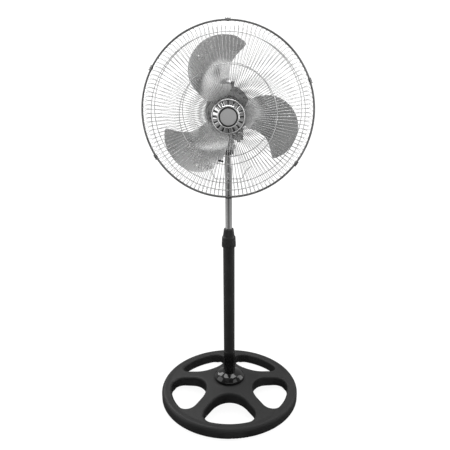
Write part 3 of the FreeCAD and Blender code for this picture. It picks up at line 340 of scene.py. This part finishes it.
def make_materials():
    return {
        "base_plastic": plastic("base_plastic", 0.009, 0.016, (0.46, 0.6), gloss=0.3),
        "ballast": plastic("ballast", 0.12, 0.22, (0.7, 0.9), 0.6, 300.0),
        "rubber": plastic("rubber", 0.015, 0.03, (0.7, 0.85)),
        "zinc_steel": metal("zinc_steel", grey(0.45), grey(0.62), (0.3, 0.45)),
        "gloss_black": plastic("gloss_black", 0.004, 0.006, (0.05, 0.1), 0.02, 500.0),
        "tube_black": plastic("tube_black", 0.011, 0.016, (0.3, 0.38), 0.1, 1800.0, 30.0),
        "nylon": plastic("nylon", 0.6, 0.7, (0.4, 0.5)),
        "grip_plastic": plastic("grip_plastic", 0.008, 0.013, (0.42, 0.55)),
        "chrome": metal("chrome", grey(0.62), grey(0.7), (0.05, 0.1), 0.03, 400.0, (1.0, 1.0, 0.02)),
        "neck_plastic": plastic("neck_plastic", 0.016, 0.026, (0.4, 0.55)),
        "cast_grey": plastic("cast_grey", 0.22, 0.28, (0.4, 0.55), 0.3, 700.0),
        "motor_paint": plastic("motor_paint", 0.011, 0.018, (0.35, 0.5), 0.2, 900.0),
        "laminations": metal("laminations", grey(0.16), grey(0.3), (0.4, 0.6), 0.1, 220.0, (0.1, 12.0, 0.1)),
        "copper": metal("copper", (0.45, 0.18, 0.08), (0.6, 0.26, 0.12), (0.3, 0.45)),
        "steel": metal("steel", grey(0.5), grey(0.62), (0.2, 0.35)),
        "gear_plastic": plastic("gear_plastic", 0.66, 0.72, (0.35, 0.5)),
        "switch_plastic": plastic("switch_plastic", 0.24, 0.3, (0.45, 0.6)),
        "knob_plastic": plastic("knob_plastic", 0.012, 0.02, (0.35, 0.5)),
        "blade_metal": brushed_blade(),
        "guard_wire": guard_metal(),
        "rim_wire": metal("rim_wire", grey(0.16), grey(0.22), (0.12, 0.22), 0.03, 120.0),
        "clip_metal": metal("clip_metal", grey(0.16), grey(0.22), (0.2, 0.3)),
        "cap_chrome": metal("cap_chrome", grey(0.6), grey(0.68), (0.08, 0.16), 0.03, 200.0),
        "badge_silver": metal("badge_silver", grey(0.42), grey(0.48), (0.38, 0.48), 0.05, 300.0,
                              (1.0, 1.0, 8.0)),
    }


def dress_nodes(materials):
    """Every CAD node that stays gets the finish of its slot."""
    slot_of = {row["node"]: row["material_slot"] for row in frame["record"]["subparts"]}
    for name, node in frame["nodes"].items():
        node.data.materials.clear()
        node.data.materials.append(materials[slot_of[name]])


# ---- meshes ----------------------------------------------------------------------------------------------
HARD_EDGE = math.radians(40.0)
DOUBLED = 0.002 * MM                             # points closer than this become one


def new_piece(name, points, faces, material, body, replaced, slot):
    """A smooth mesh that rides on a body and stands for CAD nodes."""
    mesh = bpy.data.meshes.new(name)
    mesh.from_pydata(points, [], faces)
    mesh.polygons.foreach_set("use_smooth", [True] * len(mesh.polygons))
    mesh.update()
    mesh.materials.append(material)
    piece = link(bpy.data.objects.new(name, mesh))
    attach(piece, body)
    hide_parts(*replaced)
    return piece


def rounded(points, bends, steps=6):
    """The points of a polyline whose inner corners are arcs of the given radii."""
    path = [points[0]]
    for before, corner, after, radius in zip(points, points[1:], points[2:], bends):
        back = (before - corner).normalized()
        ahead = (after - corner).normalized()
        half = back.angle(ahead) / 2.0
        centre = corner + (back + ahead).normalized() * (radius / math.sin(half))
        start = (corner + back * (radius / math.tan(half)) - centre).normalized()
        end = (corner + ahead * (radius / math.tan(half)) - centre).normalized()
        path += [centre + start.slerp(end, i / steps) * radius for i in range(steps + 1)]
    path.append(points[-1])
    return path


def band(first, second, count):
    """The faces between two rings of points that start at these numbers."""
    return [(first + k, first + (k + 1) % count, second + (k + 1) % count, second + k) for k in range(count)]


def lathe_rows(rows):
    """Points and faces of a skin through rings of points; every ring has the same number of points."""
    points = [point for row in rows for point in row]
    count = len(rows[0])
    faces = []
    for i in range(len(rows) - 1):
        faces += band(i * count, (i + 1) * count, count)
    return points, faces


def sweep(path, radius, sides):
    """A round wire along a path, with flat ends: its points and faces."""
    count = len(path)
    points = []
    side = None
    for i, here in enumerate(path):
        before = path[i - 1] if i else here
        after = path[i + 1] if i + 1 < count else here
        along = (after - before).normalized()
        if side is None:
            side = along.orthogonal().normalized()
        side = (side - along * side.dot(along)).normalized()
        up = along.cross(side)
        for k in range(sides):
            angle = math.tau * k / sides
            points.append(here + (side * math.cos(angle) + up * math.sin(angle)) * radius)
    faces = []
    for i in range(count - 1):
        faces += band(i * sides, (i + 1) * sides, sides)
    faces.append(tuple(reversed(range(sides))))
    faces.append(tuple(range((count - 1) * sides, count * sides)))
    return points, faces


def join(parts):
    """Several sets of points and faces as one."""
    points = []
    faces = []
    for more_points, more_faces in parts:
        start = len(points)
        points += more_points
        faces += [tuple(start + i for i in face) for face in more_faces]
    return points, faces


def turned(part, degrees):
    """The same points and faces, turned ahead round the motor's axis."""
    points, faces = part
    spin = Matrix.Rotation(math.radians(-degrees), 4, "Y")
    turn = Matrix.Translation(HEAD) @ spin @ Matrix.Translation(-HEAD)
    return [turn @ point for point in points], faces


def ring(radius, y, wire, segments=180, sides=10):
    """A wire ring round the motor's axis."""
    centre = Vector((HEAD.x, y, HEAD.z))
    points = []
    for i in range(segments):
        out = Vector((math.cos(math.tau * i / segments), 0.0, math.sin(math.tau * i / segments)))
        for k in range(sides):
            angle = math.tau * k / sides
            rise = Vector((0, wire * math.sin(angle), 0))
            points.append(centre + out * (radius + wire * math.cos(angle)) + rise)
    faces = []
    for i in range(segments):
        faces += band(i * sides, (i + 1) % segments * sides, sides)
    return points, faces


def tidy_mesh(mesh):
    """Merges doubled points, turns every face outwards and keeps hard edges hard."""
    work = bmesh.new()
    work.from_mesh(mesh)
    bmesh.ops.remove_doubles(work, verts=work.verts, dist=DOUBLED)
    bmesh.ops.recalc_face_normals(work, faces=work.faces)
    work.to_mesh(mesh)
    work.free()
    mesh.polygons.foreach_set("use_smooth", [True] * len(mesh.polygons))
    mesh.set_sharp_from_angle(angle=HARD_EDGE)


# ---- guards ----------------------------------------------------------------------------------------------
RIM_WIRE = 2.5 * MM
RING_WIRE = 1.2 * MM
SPOKE_WIRE = 0.8 * MM
SPOKE_COUNT = 120
SPOKE_SIDES = 8
WINDOW_SIDES = 10
RIM_SEGMENTS = 256
RIM_SIDES = 16
RIM_RADIUS = (RIM_HIGH.x - RIM_LOW.x) / 2.0 - RIM_WIRE
RIM_FRONT_Y = RIM_HIGH.y - RIM_WIRE
RIM_REAR_Y = REAR_LOW.y + RIM_WIRE
SPOKE_END = RIM_RADIUS - RIM_WIRE - SPOKE_WIRE
# A spoke's corners: distance from the motor's axis, place along it.
FRONT_SPOKE = ((40.0 * MM, -195.5 * MM), (150.0 * MM, -180.5 * MM), (SPOKE_END, -152.0 * MM),
               (SPOKE_END, -121.5 * MM))
FRONT_BENDS = (400.0 * MM, 36.0 * MM)
REAR_SPOKE = ((58.0 * MM, -34.9 * MM), (110.0 * MM, -45.5 * MM), (SPOKE_END, -45.5 * MM),
              (SPOKE_END, -119.2 * MM))
REAR_BENDS = (60.0 * MM, 20.0 * MM)
FRONT_RINGS = (42.0 * MM, 136.0 * MM, 217.0 * MM)
REAR_RINGS = (138.0 * MM, 222.0 * MM)
WINDOW_HALF_ANGLE = 12.0                         # degrees
WINDOW_INNER = 138.0 * MM
WINDOW_OUTER = 208.0 * MM
WINDOW_OVERLAP = 2.0 * MM                        # how far cut spokes run over the window's edge wires
WINDOW_CORNERS = ((74.0 * MM, -166.0 * MM), (56.0 * MM, -180.0 * MM), (42.0 * MM, -WINDOW_OUTER))
WINDOW_BENDS = (14.0 * MM, 8.0 * MM, 8.0 * MM, 14.0 * MM)


def spoke_path(corners, bends):
    """One spoke's path at the right of the motor's axis."""
    return rounded([Vector((HEAD.x + r, y, HEAD.z)) for r, y in corners], bends)


def spoke_angles():
    return [(i + 0.5) * 360.0 / SPOKE_COUNT for i in range(SPOKE_COUNT)]


def at_radius(path, radius):
    """Where a path crosses this distance from the motor's axis, and its direction there."""
    for start, end in zip(path, path[1:]):
        if start.x <= HEAD.x + radius < end.x:
            return start.lerp(end, (HEAD.x + radius - start.x) / (end.x - start.x)), end - start
    return path[0], path[1] - path[0]


def guard_ring(path, radius):
    """A ring that touches the rear side of the spokes."""
    place, along = at_radius(path, radius)
    slope = along.y / along.x
    length = math.hypot(1.0, slope)
    offset = SPOKE_WIRE + RING_WIRE
    return ring(radius - offset * slope / length, place.y + offset / length, RING_WIRE)


def window_wire():
    """The U-shaped wire that edges the window round the pole."""
    y = REAR_SPOKE[1][1] - SPOKE_WIRE - RING_WIRE
    left = [Vector((HEAD.x - x, y, HEAD.z + z)) for x, z in WINDOW_CORNERS]
    right = [Vector((HEAD.x + x, y, HEAD.z + z)) for x, z in reversed(WINDOW_CORNERS)]
    return sweep(rounded(left + right, WINDOW_BENDS), RING_WIRE, WINDOW_SIDES)


def add_guards(materials):
    wire = materials["guard_wire"]
    rim = materials["rim_wire"]
    front = spoke_path(FRONT_SPOKE, FRONT_BENDS)
    rear = spoke_path(REAR_SPOKE, REAR_BENDS)
    spoke = sweep(front, SPOKE_WIRE, SPOKE_SIDES)
    new_piece("front_spokes", *join([turned(spoke, a) for a in spoke_angles()]), wire, "head",
              ["front_guard_spokes"], "guard_wire")
    inner_end = at_radius(rear, WINDOW_INNER + WINDOW_OVERLAP)[0]
    outer_end = at_radius(rear, WINDOW_OUTER - WINDOW_OVERLAP)[0]
    inner = sweep([p for p in rear if p.x < inner_end.x] + [inner_end], SPOKE_WIRE, SPOKE_SIDES)
    outer = sweep([outer_end] + [p for p in rear if p.x > outer_end.x], SPOKE_WIRE, SPOKE_SIDES)
    whole = sweep(rear, SPOKE_WIRE, SPOKE_SIDES)
    wires = []
    for angle in spoke_angles():
        near_bottom = abs(angle - 270.0) < WINDOW_HALF_ANGLE
        wires += [turned(part, angle) for part in ((inner, outer) if near_bottom else (whole,))]
    new_piece("rear_spokes", *join(wires), wire, "head", ["rear_guard_spokes"], "guard_wire")
    new_piece("front_rings", *join([guard_ring(front, radius) for radius in FRONT_RINGS]), wire, "head",
              ["front_guard_rings"], "guard_wire")
    rear_rings = [guard_ring(rear, radius) for radius in REAR_RINGS]
    new_piece("rear_rings", *join(rear_rings + [window_wire()]), wire, "head", ["rear_guard_rings"],
              "guard_wire")
    new_piece("front_rim", *ring(RIM_RADIUS, RIM_FRONT_Y, RIM_WIRE, RIM_SEGMENTS, RIM_SIDES), rim, "head",
              ["front_guard_rings"], "rim_wire")
    new_piece("rear_rim", *ring(RIM_RADIUS, RIM_REAR_Y, RIM_WIRE, RIM_SEGMENTS, RIM_SIDES), rim, "head",
              ["rear_guard_rings"], "rim_wire")


# ---- centre cap ------------------------------------------------------------------------------------------
# The cap's numbers are in millimetres. Depth runs back from the lip, pairs are radius and depth.
CAP_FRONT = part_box("front_cap")[0].y
BADGE_LOW, BADGE_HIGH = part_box("front_badge")
CAP_SLOTS = 16
CAP_SLOT_HALF = 2.0
CAP_SLOT_LEAST_RADIUS = 12.0                     # nearer the axis a slot keeps the angle it has here
CAP_SLOT_INNER = 31.0
CAP_SLOT_OUTER = 42.4
CAP_SLOT_DEPTH = 5.5
CAP_SLOT_END = 0.1                               # run-out of a slot's end
CAP_BAR_ROWS = 8
CAP_BAR_DEPTH = 1.9                              # at the inner end
CAP_BAR_SLOPE = 0.78
CAP_BAR_DOME = 1.2
CAP_WELL = ((0.0, 4.0), (20.0, 4.0), (25.0, 4.0), (25.4, 3.4))
CAP_LIP = ((25.9, 1.4), (26.6, 0.6), (27.6, 0.1), (28.6, 0.0), (29.5, 0.3), (30.1, 0.9), (30.6, 1.6))
CAP_BEAD_PLACE = (44.7, 12.8)
CAP_BEAD = 2.2
CAP_BEAD_TURN = 195.0                            # degrees
CAP_BEAD_STEPS = 12
CAP_SKIRT = (46.6, 18.8)
CAP_INSIDE = ((42.6, 18.8), (41.6, 15.8), (28.0, 7.0), (0.0, 7.0))
BAR_STATIONS = (-1.0, -0.93, -0.78, -0.5, 0.0, 0.5, 0.78, 0.93, 1.0)
CAP_RING_SIDES = 96
# A thin dark ring of painted shade sits behind the slots and stands for the shade inside the cap.
SHADE_LIFT = 2.0                                 # in front of the slots' floor
SHADE_GAP = 0.2
SHADE_THICKNESS = 0.4
# A dark ring of painted shade lines the groove between the badge and the lip.
GROOVE_GAP = 0.1
GROOVE_OUTER = 25.2
GROOVE_DEPTHS = (2.6, 3.8)


def bar_depth(radius):
    """Depth of the sloping bars behind the lip."""
    return CAP_BAR_DEPTH + (radius - CAP_SLOT_INNER) * CAP_BAR_SLOPE


def cap_outline():
    """Rows of the cap, from the middle over the front and round the rim to the back.
    Each row is a radius, a depth and whether it has slots."""
    rows = [(r, d, False) for r, d in CAP_WELL + CAP_LIP]
    rows.append((CAP_SLOT_INNER - CAP_SLOT_END, bar_depth(CAP_SLOT_INNER), False))
    for i in range(CAP_BAR_ROWS + 1):
        radius = CAP_SLOT_INNER + (CAP_SLOT_OUTER - CAP_SLOT_INNER) * i / CAP_BAR_ROWS
        rows.append((radius, bar_depth(radius), True))
    rows.append((CAP_SLOT_OUTER + CAP_SLOT_END, bar_depth(CAP_SLOT_OUTER), False))
    bead_radius, bead_depth = CAP_BEAD_PLACE
    for i in range(CAP_BEAD_STEPS + 1):
        angle = math.radians(CAP_BEAD_TURN - CAP_BEAD_TURN * i / CAP_BEAD_STEPS)
        radius = bead_radius + CAP_BEAD * math.cos(angle)
        rows.append((radius, bead_depth - CAP_BEAD * math.sin(angle), False))
    return rows + [(r, d, False) for r, d in (CAP_SKIRT,) + CAP_INSIDE]


def cap_point(radius, angle, depth):
    """A place on the cap: radius and depth in millimetres, angle in radians."""
    return Vector((HEAD.x + radius * MM * math.cos(angle), CAP_FRONT + depth * MM,
                   HEAD.z + radius * MM * math.sin(angle)))


def cap_row(radius, depth, slotted):
    """One ring of points: domed bars with slots between them where the row has slots."""
    pitch = math.tau / CAP_SLOTS
    half_bar = pitch / 2.0 - CAP_SLOT_HALF / max(radius, CAP_SLOT_LEAST_RADIUS)
    points = []
    for k in range(CAP_SLOTS):
        centre = pitch * (k + 0.5)
        for station in BAR_STATIONS:
            dome = CAP_BAR_DOME * station ** 4 if slotted else 0.0
            points.append(cap_point(radius, centre + half_bar * station, depth + dome))
        for side in (half_bar, pitch - half_bar):
            drop = CAP_SLOT_DEPTH if slotted else 0.0
            points.append(cap_point(radius, centre + side, depth + drop))
    return points


def flat_ring(inner, outer, front_depth, back_depth):
    """A thin ring on the cap's axis; the depths are pairs, at its inner and its outer radius."""
    corners = ((inner, front_depth[0]), (outer, front_depth[1]), (outer, back_depth[1]),
               (inner, back_depth[0]), (inner, front_depth[0]))
    angles = [math.tau * i / CAP_RING_SIDES for i in range(CAP_RING_SIDES)]
    return lathe_rows([[cap_point(radius, angle, depth) for angle in angles] for radius, depth in corners])


def add_cap(materials):
    rows = [cap_row(*row) for row in cap_outline()]
    cap = new_piece("cap_shell", *lathe_rows(rows), materials["cap_chrome"], "head", ["front_cap"],
                    "cap_chrome")
    # A thin dark ring behind the slots is painted shade seen through them.
    lifted = CAP_SLOT_DEPTH - SHADE_LIFT
    inner, outer = CAP_SLOT_INNER + SHADE_GAP, CAP_SLOT_OUTER - SHADE_GAP
    front = (bar_depth(inner) + lifted, bar_depth(outer) + lifted)
    back = (front[0] + SHADE_THICKNESS, front[1] + SHADE_THICKNESS)
    slot_painted_shade = new_piece("cap_slot_painted_shade", *flat_ring(inner, outer, front, back), materials["knob_plastic"],
                      "head", ["front_cap"], "knob_plastic")
    # A dark ring in the groove round the badge is painted shade there.
    badge_edge = (BADGE_HIGH.x - BADGE_LOW.x) / 2.0 / MM
    front, back = [(depth, depth) for depth in GROOVE_DEPTHS]
    groove_painted_shade = new_piece("cap_groove_painted_shade", *flat_ring(badge_edge + GROOVE_GAP, GROOVE_OUTER, front, back),
                       materials["knob_plastic"], "head", ["front_cap"], "knob_plastic")
    for piece in (cap, slot_painted_shade, groove_painted_shade):
        tidy_mesh(piece.data)


# ---- glossy pieces at the pole's foot --------------------------------------------------------------------
DOME_LOW, DOME_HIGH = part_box("dome_cover")
SLEEVE_LOW, SLEEVE_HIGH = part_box("foot_sleeve")
DOME_WALL = 2.5 * MM
DOME_OPENING = 20.0 * MM
DOME_TOP_RADIUS = 26.0 * MM
DOME_SHOULDER = (12.0 * MM, 6.5 * MM)            # in from the edge, down from the top
DOME_SKIRT = 8.8 * MM
DOME_INNER_TOP_RADIUS = 24.4 * MM
DOME_INNER_SHOULDER = (13.4 * MM, 8.8 * MM)
DOME_INNER_SKIRT = 7.8 * MM
DOME_BENDS = [bend * MM for bend in (7.0, 22.0, 8.0, 0.5, 0.5, 6.0, 20.0, 5.0)]
DOME_BEND_STEPS = 8
DOME_SIDES = 144
SLEEVE_RADIUS = 20.6 * MM
SLEEVE_BORE = 19.85 * MM
SLEEVE_EDGE = 0.4 * MM
RIB_COUNT = 15
RIB_CIRCLE = 20.3 * MM
RIB_RADIUS = 1.1 * MM
RIB_BOTTOM = 4.0 * MM                            # above the sleeve's lower end
RIB_LENGTH = 36.0 * MM
RIB_STATIONS = (-1.0, -0.92, -0.7, -0.36, 0.0, 0.36, 0.7, 0.92, 1.0)
RIB_END_STEPS = 6
RIB_GAP_STEPS = 4


def pole_point(radius, angle, z):
    return Vector((radius * math.cos(angle), radius * math.sin(angle), z))


def add_dome(materials):
    """The bell over the pole's foot, turned from its outline: outside, opening for the tube, inside."""
    edge = (DOME_HIGH.x - DOME_LOW.x) / 2.0
    low, high = DOME_LOW.z, DOME_HIGH.z
    shoulder_in, shoulder_down = DOME_SHOULDER
    outside = [(edge, low), (edge, low + DOME_SKIRT), (edge - shoulder_in, high - shoulder_down),
               (DOME_TOP_RADIUS, high), (DOME_OPENING, high)]
    shoulder_in, shoulder_down = DOME_INNER_SHOULDER
    inside = [(DOME_OPENING, high - DOME_WALL), (DOME_INNER_TOP_RADIUS, high - DOME_WALL),
              (edge - shoulder_in, high - shoulder_down), (edge - DOME_WALL, low + DOME_INNER_SKIRT),
              (edge - DOME_WALL, low)]
    path = rounded([Vector((r, 0.0, z)) for r, z in outside + inside], DOME_BENDS, DOME_BEND_STEPS)
    angles = [math.tau * i / DOME_SIDES for i in range(DOME_SIDES)]
    rows = [[pole_point(p.x, angle, p.z) for angle in angles] for p in path + path[:1]]
    dome = new_piece("dome_bell", *lathe_rows(rows), materials["gloss_black"], "stand", ["dome_cover"],
                     "gloss_black")
    tidy_mesh(dome.data)


def sleeve_row(radius, z):
    """One ring of the sleeve's outside, which follows the ribs where they stand out of it."""
    above = z - SLEEVE_LOW.z - RIB_BOTTOM
    past = max(-above, above - RIB_LENGTH, 0.0)
    section = math.sqrt(max(RIB_RADIUS ** 2 - past ** 2, 0.0))
    pitch = math.tau / RIB_COUNT
    half = RIB_RADIUS / radius
    points = []
    for k in range(RIB_COUNT):
        for station in RIB_STATIONS:
            offset = RIB_RADIUS * station
            stands = RIB_CIRCLE + math.sqrt(max(section ** 2 - offset ** 2, 0.0)) if section else 0.0
            points.append(pole_point(max(radius, stands), pitch * k + half * station, z))
        gap = pitch - 2.0 * half
        for i in range(1, RIB_GAP_STEPS):
            points.append(pole_point(radius, pitch * k + half + gap * i / RIB_GAP_STEPS, z))
    return points


def add_sleeve(materials):
    """The sleeve over the pole's foot, with its ring of short ribs."""
    low, high = SLEEVE_LOW.z, SLEEVE_HIGH.z
    rib_low, rib_high = low + RIB_BOTTOM, low + RIB_BOTTOM + RIB_LENGTH
    ends = [RIB_RADIUS * math.sin(math.radians(90.0 * i / RIB_END_STEPS)) for i in range(RIB_END_STEPS + 1)]
    heights = [rib_low - end for end in reversed(ends)] + [rib_high + end for end in ends]
    rows = [sleeve_row(SLEEVE_BORE, low), sleeve_row(SLEEVE_RADIUS - SLEEVE_EDGE, low),
            sleeve_row(SLEEVE_RADIUS, low + SLEEVE_EDGE)]
    rows += [sleeve_row(SLEEVE_RADIUS, z) for z in heights]
    rows += [sleeve_row(SLEEVE_RADIUS, high - SLEEVE_EDGE), sleeve_row(SLEEVE_RADIUS - SLEEVE_EDGE, high),
             sleeve_row(SLEEVE_BORE, high), sleeve_row(SLEEVE_BORE, low)]
    sleeve = new_piece("foot_sleeve_skin", *lathe_rows(rows), materials["gloss_black"], "stand",
                       ["foot_sleeve"], "gloss_black")
    tidy_mesh(sleeve.data)


# ---- blades ----------------------------------------------------------------------------------------------
# The blades' numbers are in millimetres and degrees. Angles are ahead of the hooked tip, except the tips'
# own, which are ahead of the right.
BLADE_PLANE = -100.0
BLADE_THICKNESS = 1.4
BLADE_PITCH = 23.0
BLADE_CAMBER = 7.0
BLADE_CAMBER_HALF_WIDTH = 80.0
BLADE_TWIST = (80.0, 80.0)                       # from this radius, over this width
BLADE_TIP_ANGLES = (76.0, 196.0, 316.0)
BLADE_GRID = (100, 64)                           # rows outwards, columns across
MIDDLE_ROOT = 41.0
MIDDLE_DRIFTS = ((25.0, 90.0, 150.0), (4.0, 60.0, 150.0))    # degrees, from this radius, over this width
# The outline's trailing and leading edges: radius, angle.
TRAILING = (
    (44.0, 40.0), (45.5, 50.0), (48.0, 58.0), (66.0, 74.0), (101.0, 71.5), (139.0, 64.5), (167.0, 55.5),
    (189.0, 45.5), (206.0, 33.0), (212.0, 20.0),
)
LEADING = (
    (44.0, 40.0), (45.5, 30.0), (48.0, 22.0), (66.0, 7.0), (100.0, 11.5), (133.0, 10.0), (160.0, 5.0),
    (177.0, 1.0), (187.0, -0.9), (193.0, -1.5), (197.5, -0.6), (200.5, 1.2), (203.5, 3.6), (210.0, 9.5),
    (212.0, 20.0),
)
CREASE_START = (80.0, 34.5)
CREASE_END = (136.0, 22.0)
CREASE_SLOPE = 0.34
CREASE_GROWS = (79.0, 17.0)                      # from this radius, over this width
CREASE_FADES = (110.0, 75.0)
CREASE_SOFTENS = (90.0, 60.0)
CREASE_SOFTNESS = (2.5, 4.5)                     # near the root, added further out
BALANCE_HOLE = (176.0, 41.5)
BALANCE_HOLE_RADIUS = 2.0
DRILL_SIDES = 20
DRILL_REACH = 30.0


def smooth(value):
    value = min(1.0, max(0.0, value))
    return value * value * (3.0 - 2.0 * value)


def rise(radius, start, width):
    """0 up to the start, 1 a width beyond it, and smooth between."""
    return smooth((radius - start) / width)


def flat_place(radius, angle):
    return Vector((radius * math.cos(math.radians(angle)), radius * math.sin(math.radians(angle))))


def blade_sweep(radius):
    """Angle of the blade's middle line at a radius, in degrees ahead of its hooked tip."""
    angle = MIDDLE_ROOT
    for degrees, start, width in MIDDLE_DRIFTS:
        angle -= degrees * rise(radius, start, width)
    return angle


def crease_drop(radius, angle):
    """How far the sheet leans back on the tip's side of the pressed crease.
    The fold grows in at the root, and softens and fades outwards."""
    start = flat_place(*CREASE_START)
    along = (flat_place(*CREASE_END) - start).normalized()
    away = flat_place(radius, angle) - start
    past = away.x * along.y - away.y * along.x
    softness = CREASE_SOFTNESS[0] + CREASE_SOFTNESS[1] * rise(radius, *CREASE_SOFTENS)
    fold = (past + math.sqrt(past * past + softness * softness)) / 2.0
    strength = rise(radius, *CREASE_GROWS) * (1.0 - rise(radius, *CREASE_FADES))
    return CREASE_SLOPE * strength * fold


def blade_height(radius, angle):
    """How far the sheet stands in front of the spider, flat at the root and pitched towards the tip."""
    across = radius * math.radians(angle - blade_sweep(radius))
    twist = rise(radius, *BLADE_TWIST)
    pitch = math.tan(math.radians(BLADE_PITCH)) * twist
    camber = BLADE_CAMBER * twist * (1.0 - (across / BLADE_CAMBER_HALF_WIDTH) ** 2)
    return across * pitch - camber - crease_drop(radius, angle)


def reach(radius):
    """0 at the blade's inner end and 1 at its outer end, so that both ends come out round."""
    inner, outer = TRAILING[0][0], TRAILING[-1][0]
    return math.acos(1.0 - 2.0 * (radius - inner) / (outer - inner)) / math.pi


def through(knots, t):
    """A smooth curve through (place, value) knots."""
    k = 0
    while k < len(knots) - 2 and t > knots[k + 1][0]:
        k += 1

    def slope(i):
        low, high = max(i - 1, 0), min(i + 1, len(knots) - 1)
        return (knots[high][1] - knots[low][1]) / (knots[high][0] - knots[low][0])

    (t0, v0), (t1, v1) = knots[k], knots[k + 1]
    span = t1 - t0
    u = (t - t0) / span
    return (v0 * (1 + 2 * u) * (1 - u) ** 2 + v1 * u * u * (3 - 2 * u)
            + slope(k) * span * u * (1 - u) ** 2 - slope(k + 1) * span * u * u * (1 - u))


def blade_point(radius, angle, front):
    y = BLADE_PLANE - blade_height(radius, angle) - (BLADE_THICKNESS if front else 0.0)
    place = flat_place(radius, angle)
    return Vector((HEAD.x + place.x * MM, y * MM, HEAD.z + place.y * MM))


def blade_mesh():
    """One blade with its hooked tip at the right: two skins and the edge between them."""
    rows, columns = BLADE_GRID
    trailing = [(reach(r), a) for r, a in TRAILING]
    leading = [(reach(r), a) for r, a in LEADING]
    inner, outer = TRAILING[0][0], TRAILING[-1][0]
    points = []
    for front in (True, False):
        points.append(blade_point(inner, TRAILING[0][1], front))
        for i in range(1, rows):
            t = i / rows
            radius = inner + (outer - inner) * (1.0 - math.cos(math.pi * t)) / 2.0
            low, high = through(leading, t), through(trailing, t)
            angles = [low + (high - low) * j / columns for j in range(columns + 1)]
            points += [blade_point(radius, angle, front) for angle in angles]
        points.append(blade_point(outer, TRAILING[-1][1], front))
    skin = len(points) // 2
    last = skin - 1

    def at(i, j):
        return 0 if i == 0 else last if i == rows else 1 + (i - 1) * (columns + 1) + j

    front_faces = []
    for i in range(rows):
        for j in range(columns):
            loop = [at(i, j), at(i, j + 1), at(i + 1, j + 1), at(i + 1, j)]
            front_faces.append(tuple(dict.fromkeys(loop)))
    edge = [at(i, 0) for i in range(rows + 1)] + [at(i, columns) for i in range(rows - 1, 0, -1)]
    faces = [tuple(reversed(face)) for face in front_faces]
    faces += [tuple(skin + i for i in face) for face in front_faces]
    faces += [(a, b, skin + b, skin + a) for a, b in zip(edge, edge[1:] + edge[:1])]
    return points, faces


def drill(piece, place, direction, radius):
    """Cuts a round hole through a piece."""
    mesh = bpy.data.meshes.new("drill")
    points, faces = sweep([place - direction, place + direction], radius, DRILL_SIDES)
    mesh.from_pydata(points, [], faces)
    drill_bit = link(bpy.data.objects.new("drill", mesh))
    cut = piece.modifiers.new("hole", "BOOLEAN")
    cut.object = drill_bit
    cut.solver = "EXACT"
    graph = bpy.context.evaluated_depsgraph_get()
    made = bpy.data.meshes.new_from_object(piece.evaluated_get(graph))
    piece.modifiers.clear()
    piece.data = made
    bpy.data.objects.remove(drill_bit)


def add_blades(materials):
    blade = blade_mesh()
    for number, angle in enumerate(BLADE_TIP_ANGLES, 1):
        name = "blade_%d" % number
        points, faces = turned(blade, angle)
        piece = new_piece(name + "_sheet", points, faces, materials["blade_metal"], "rotor", [name],
                          "blade_metal")
        hole = turned(([blade_point(*BALANCE_HOLE, True)], []), angle)[0][0]
        drill(piece, hole, Vector((0.0, DRILL_REACH * MM, 0.0)), BALANCE_HOLE_RADIUS * MM)
        piece.data.set_sharp_from_angle(angle=HARD_EDGE)


def main():
    add_camera()
    add_lights()
    add_world()
    add_floor()
    bpy.context.scene.view_settings.view_transform = "Standard"
    materials = make_materials()
    dress_nodes(materials)
    add_guards(materials)
    add_cap(materials)
    add_dome(materials)
    add_sleeve(materials)
    add_blades(materials)


main()
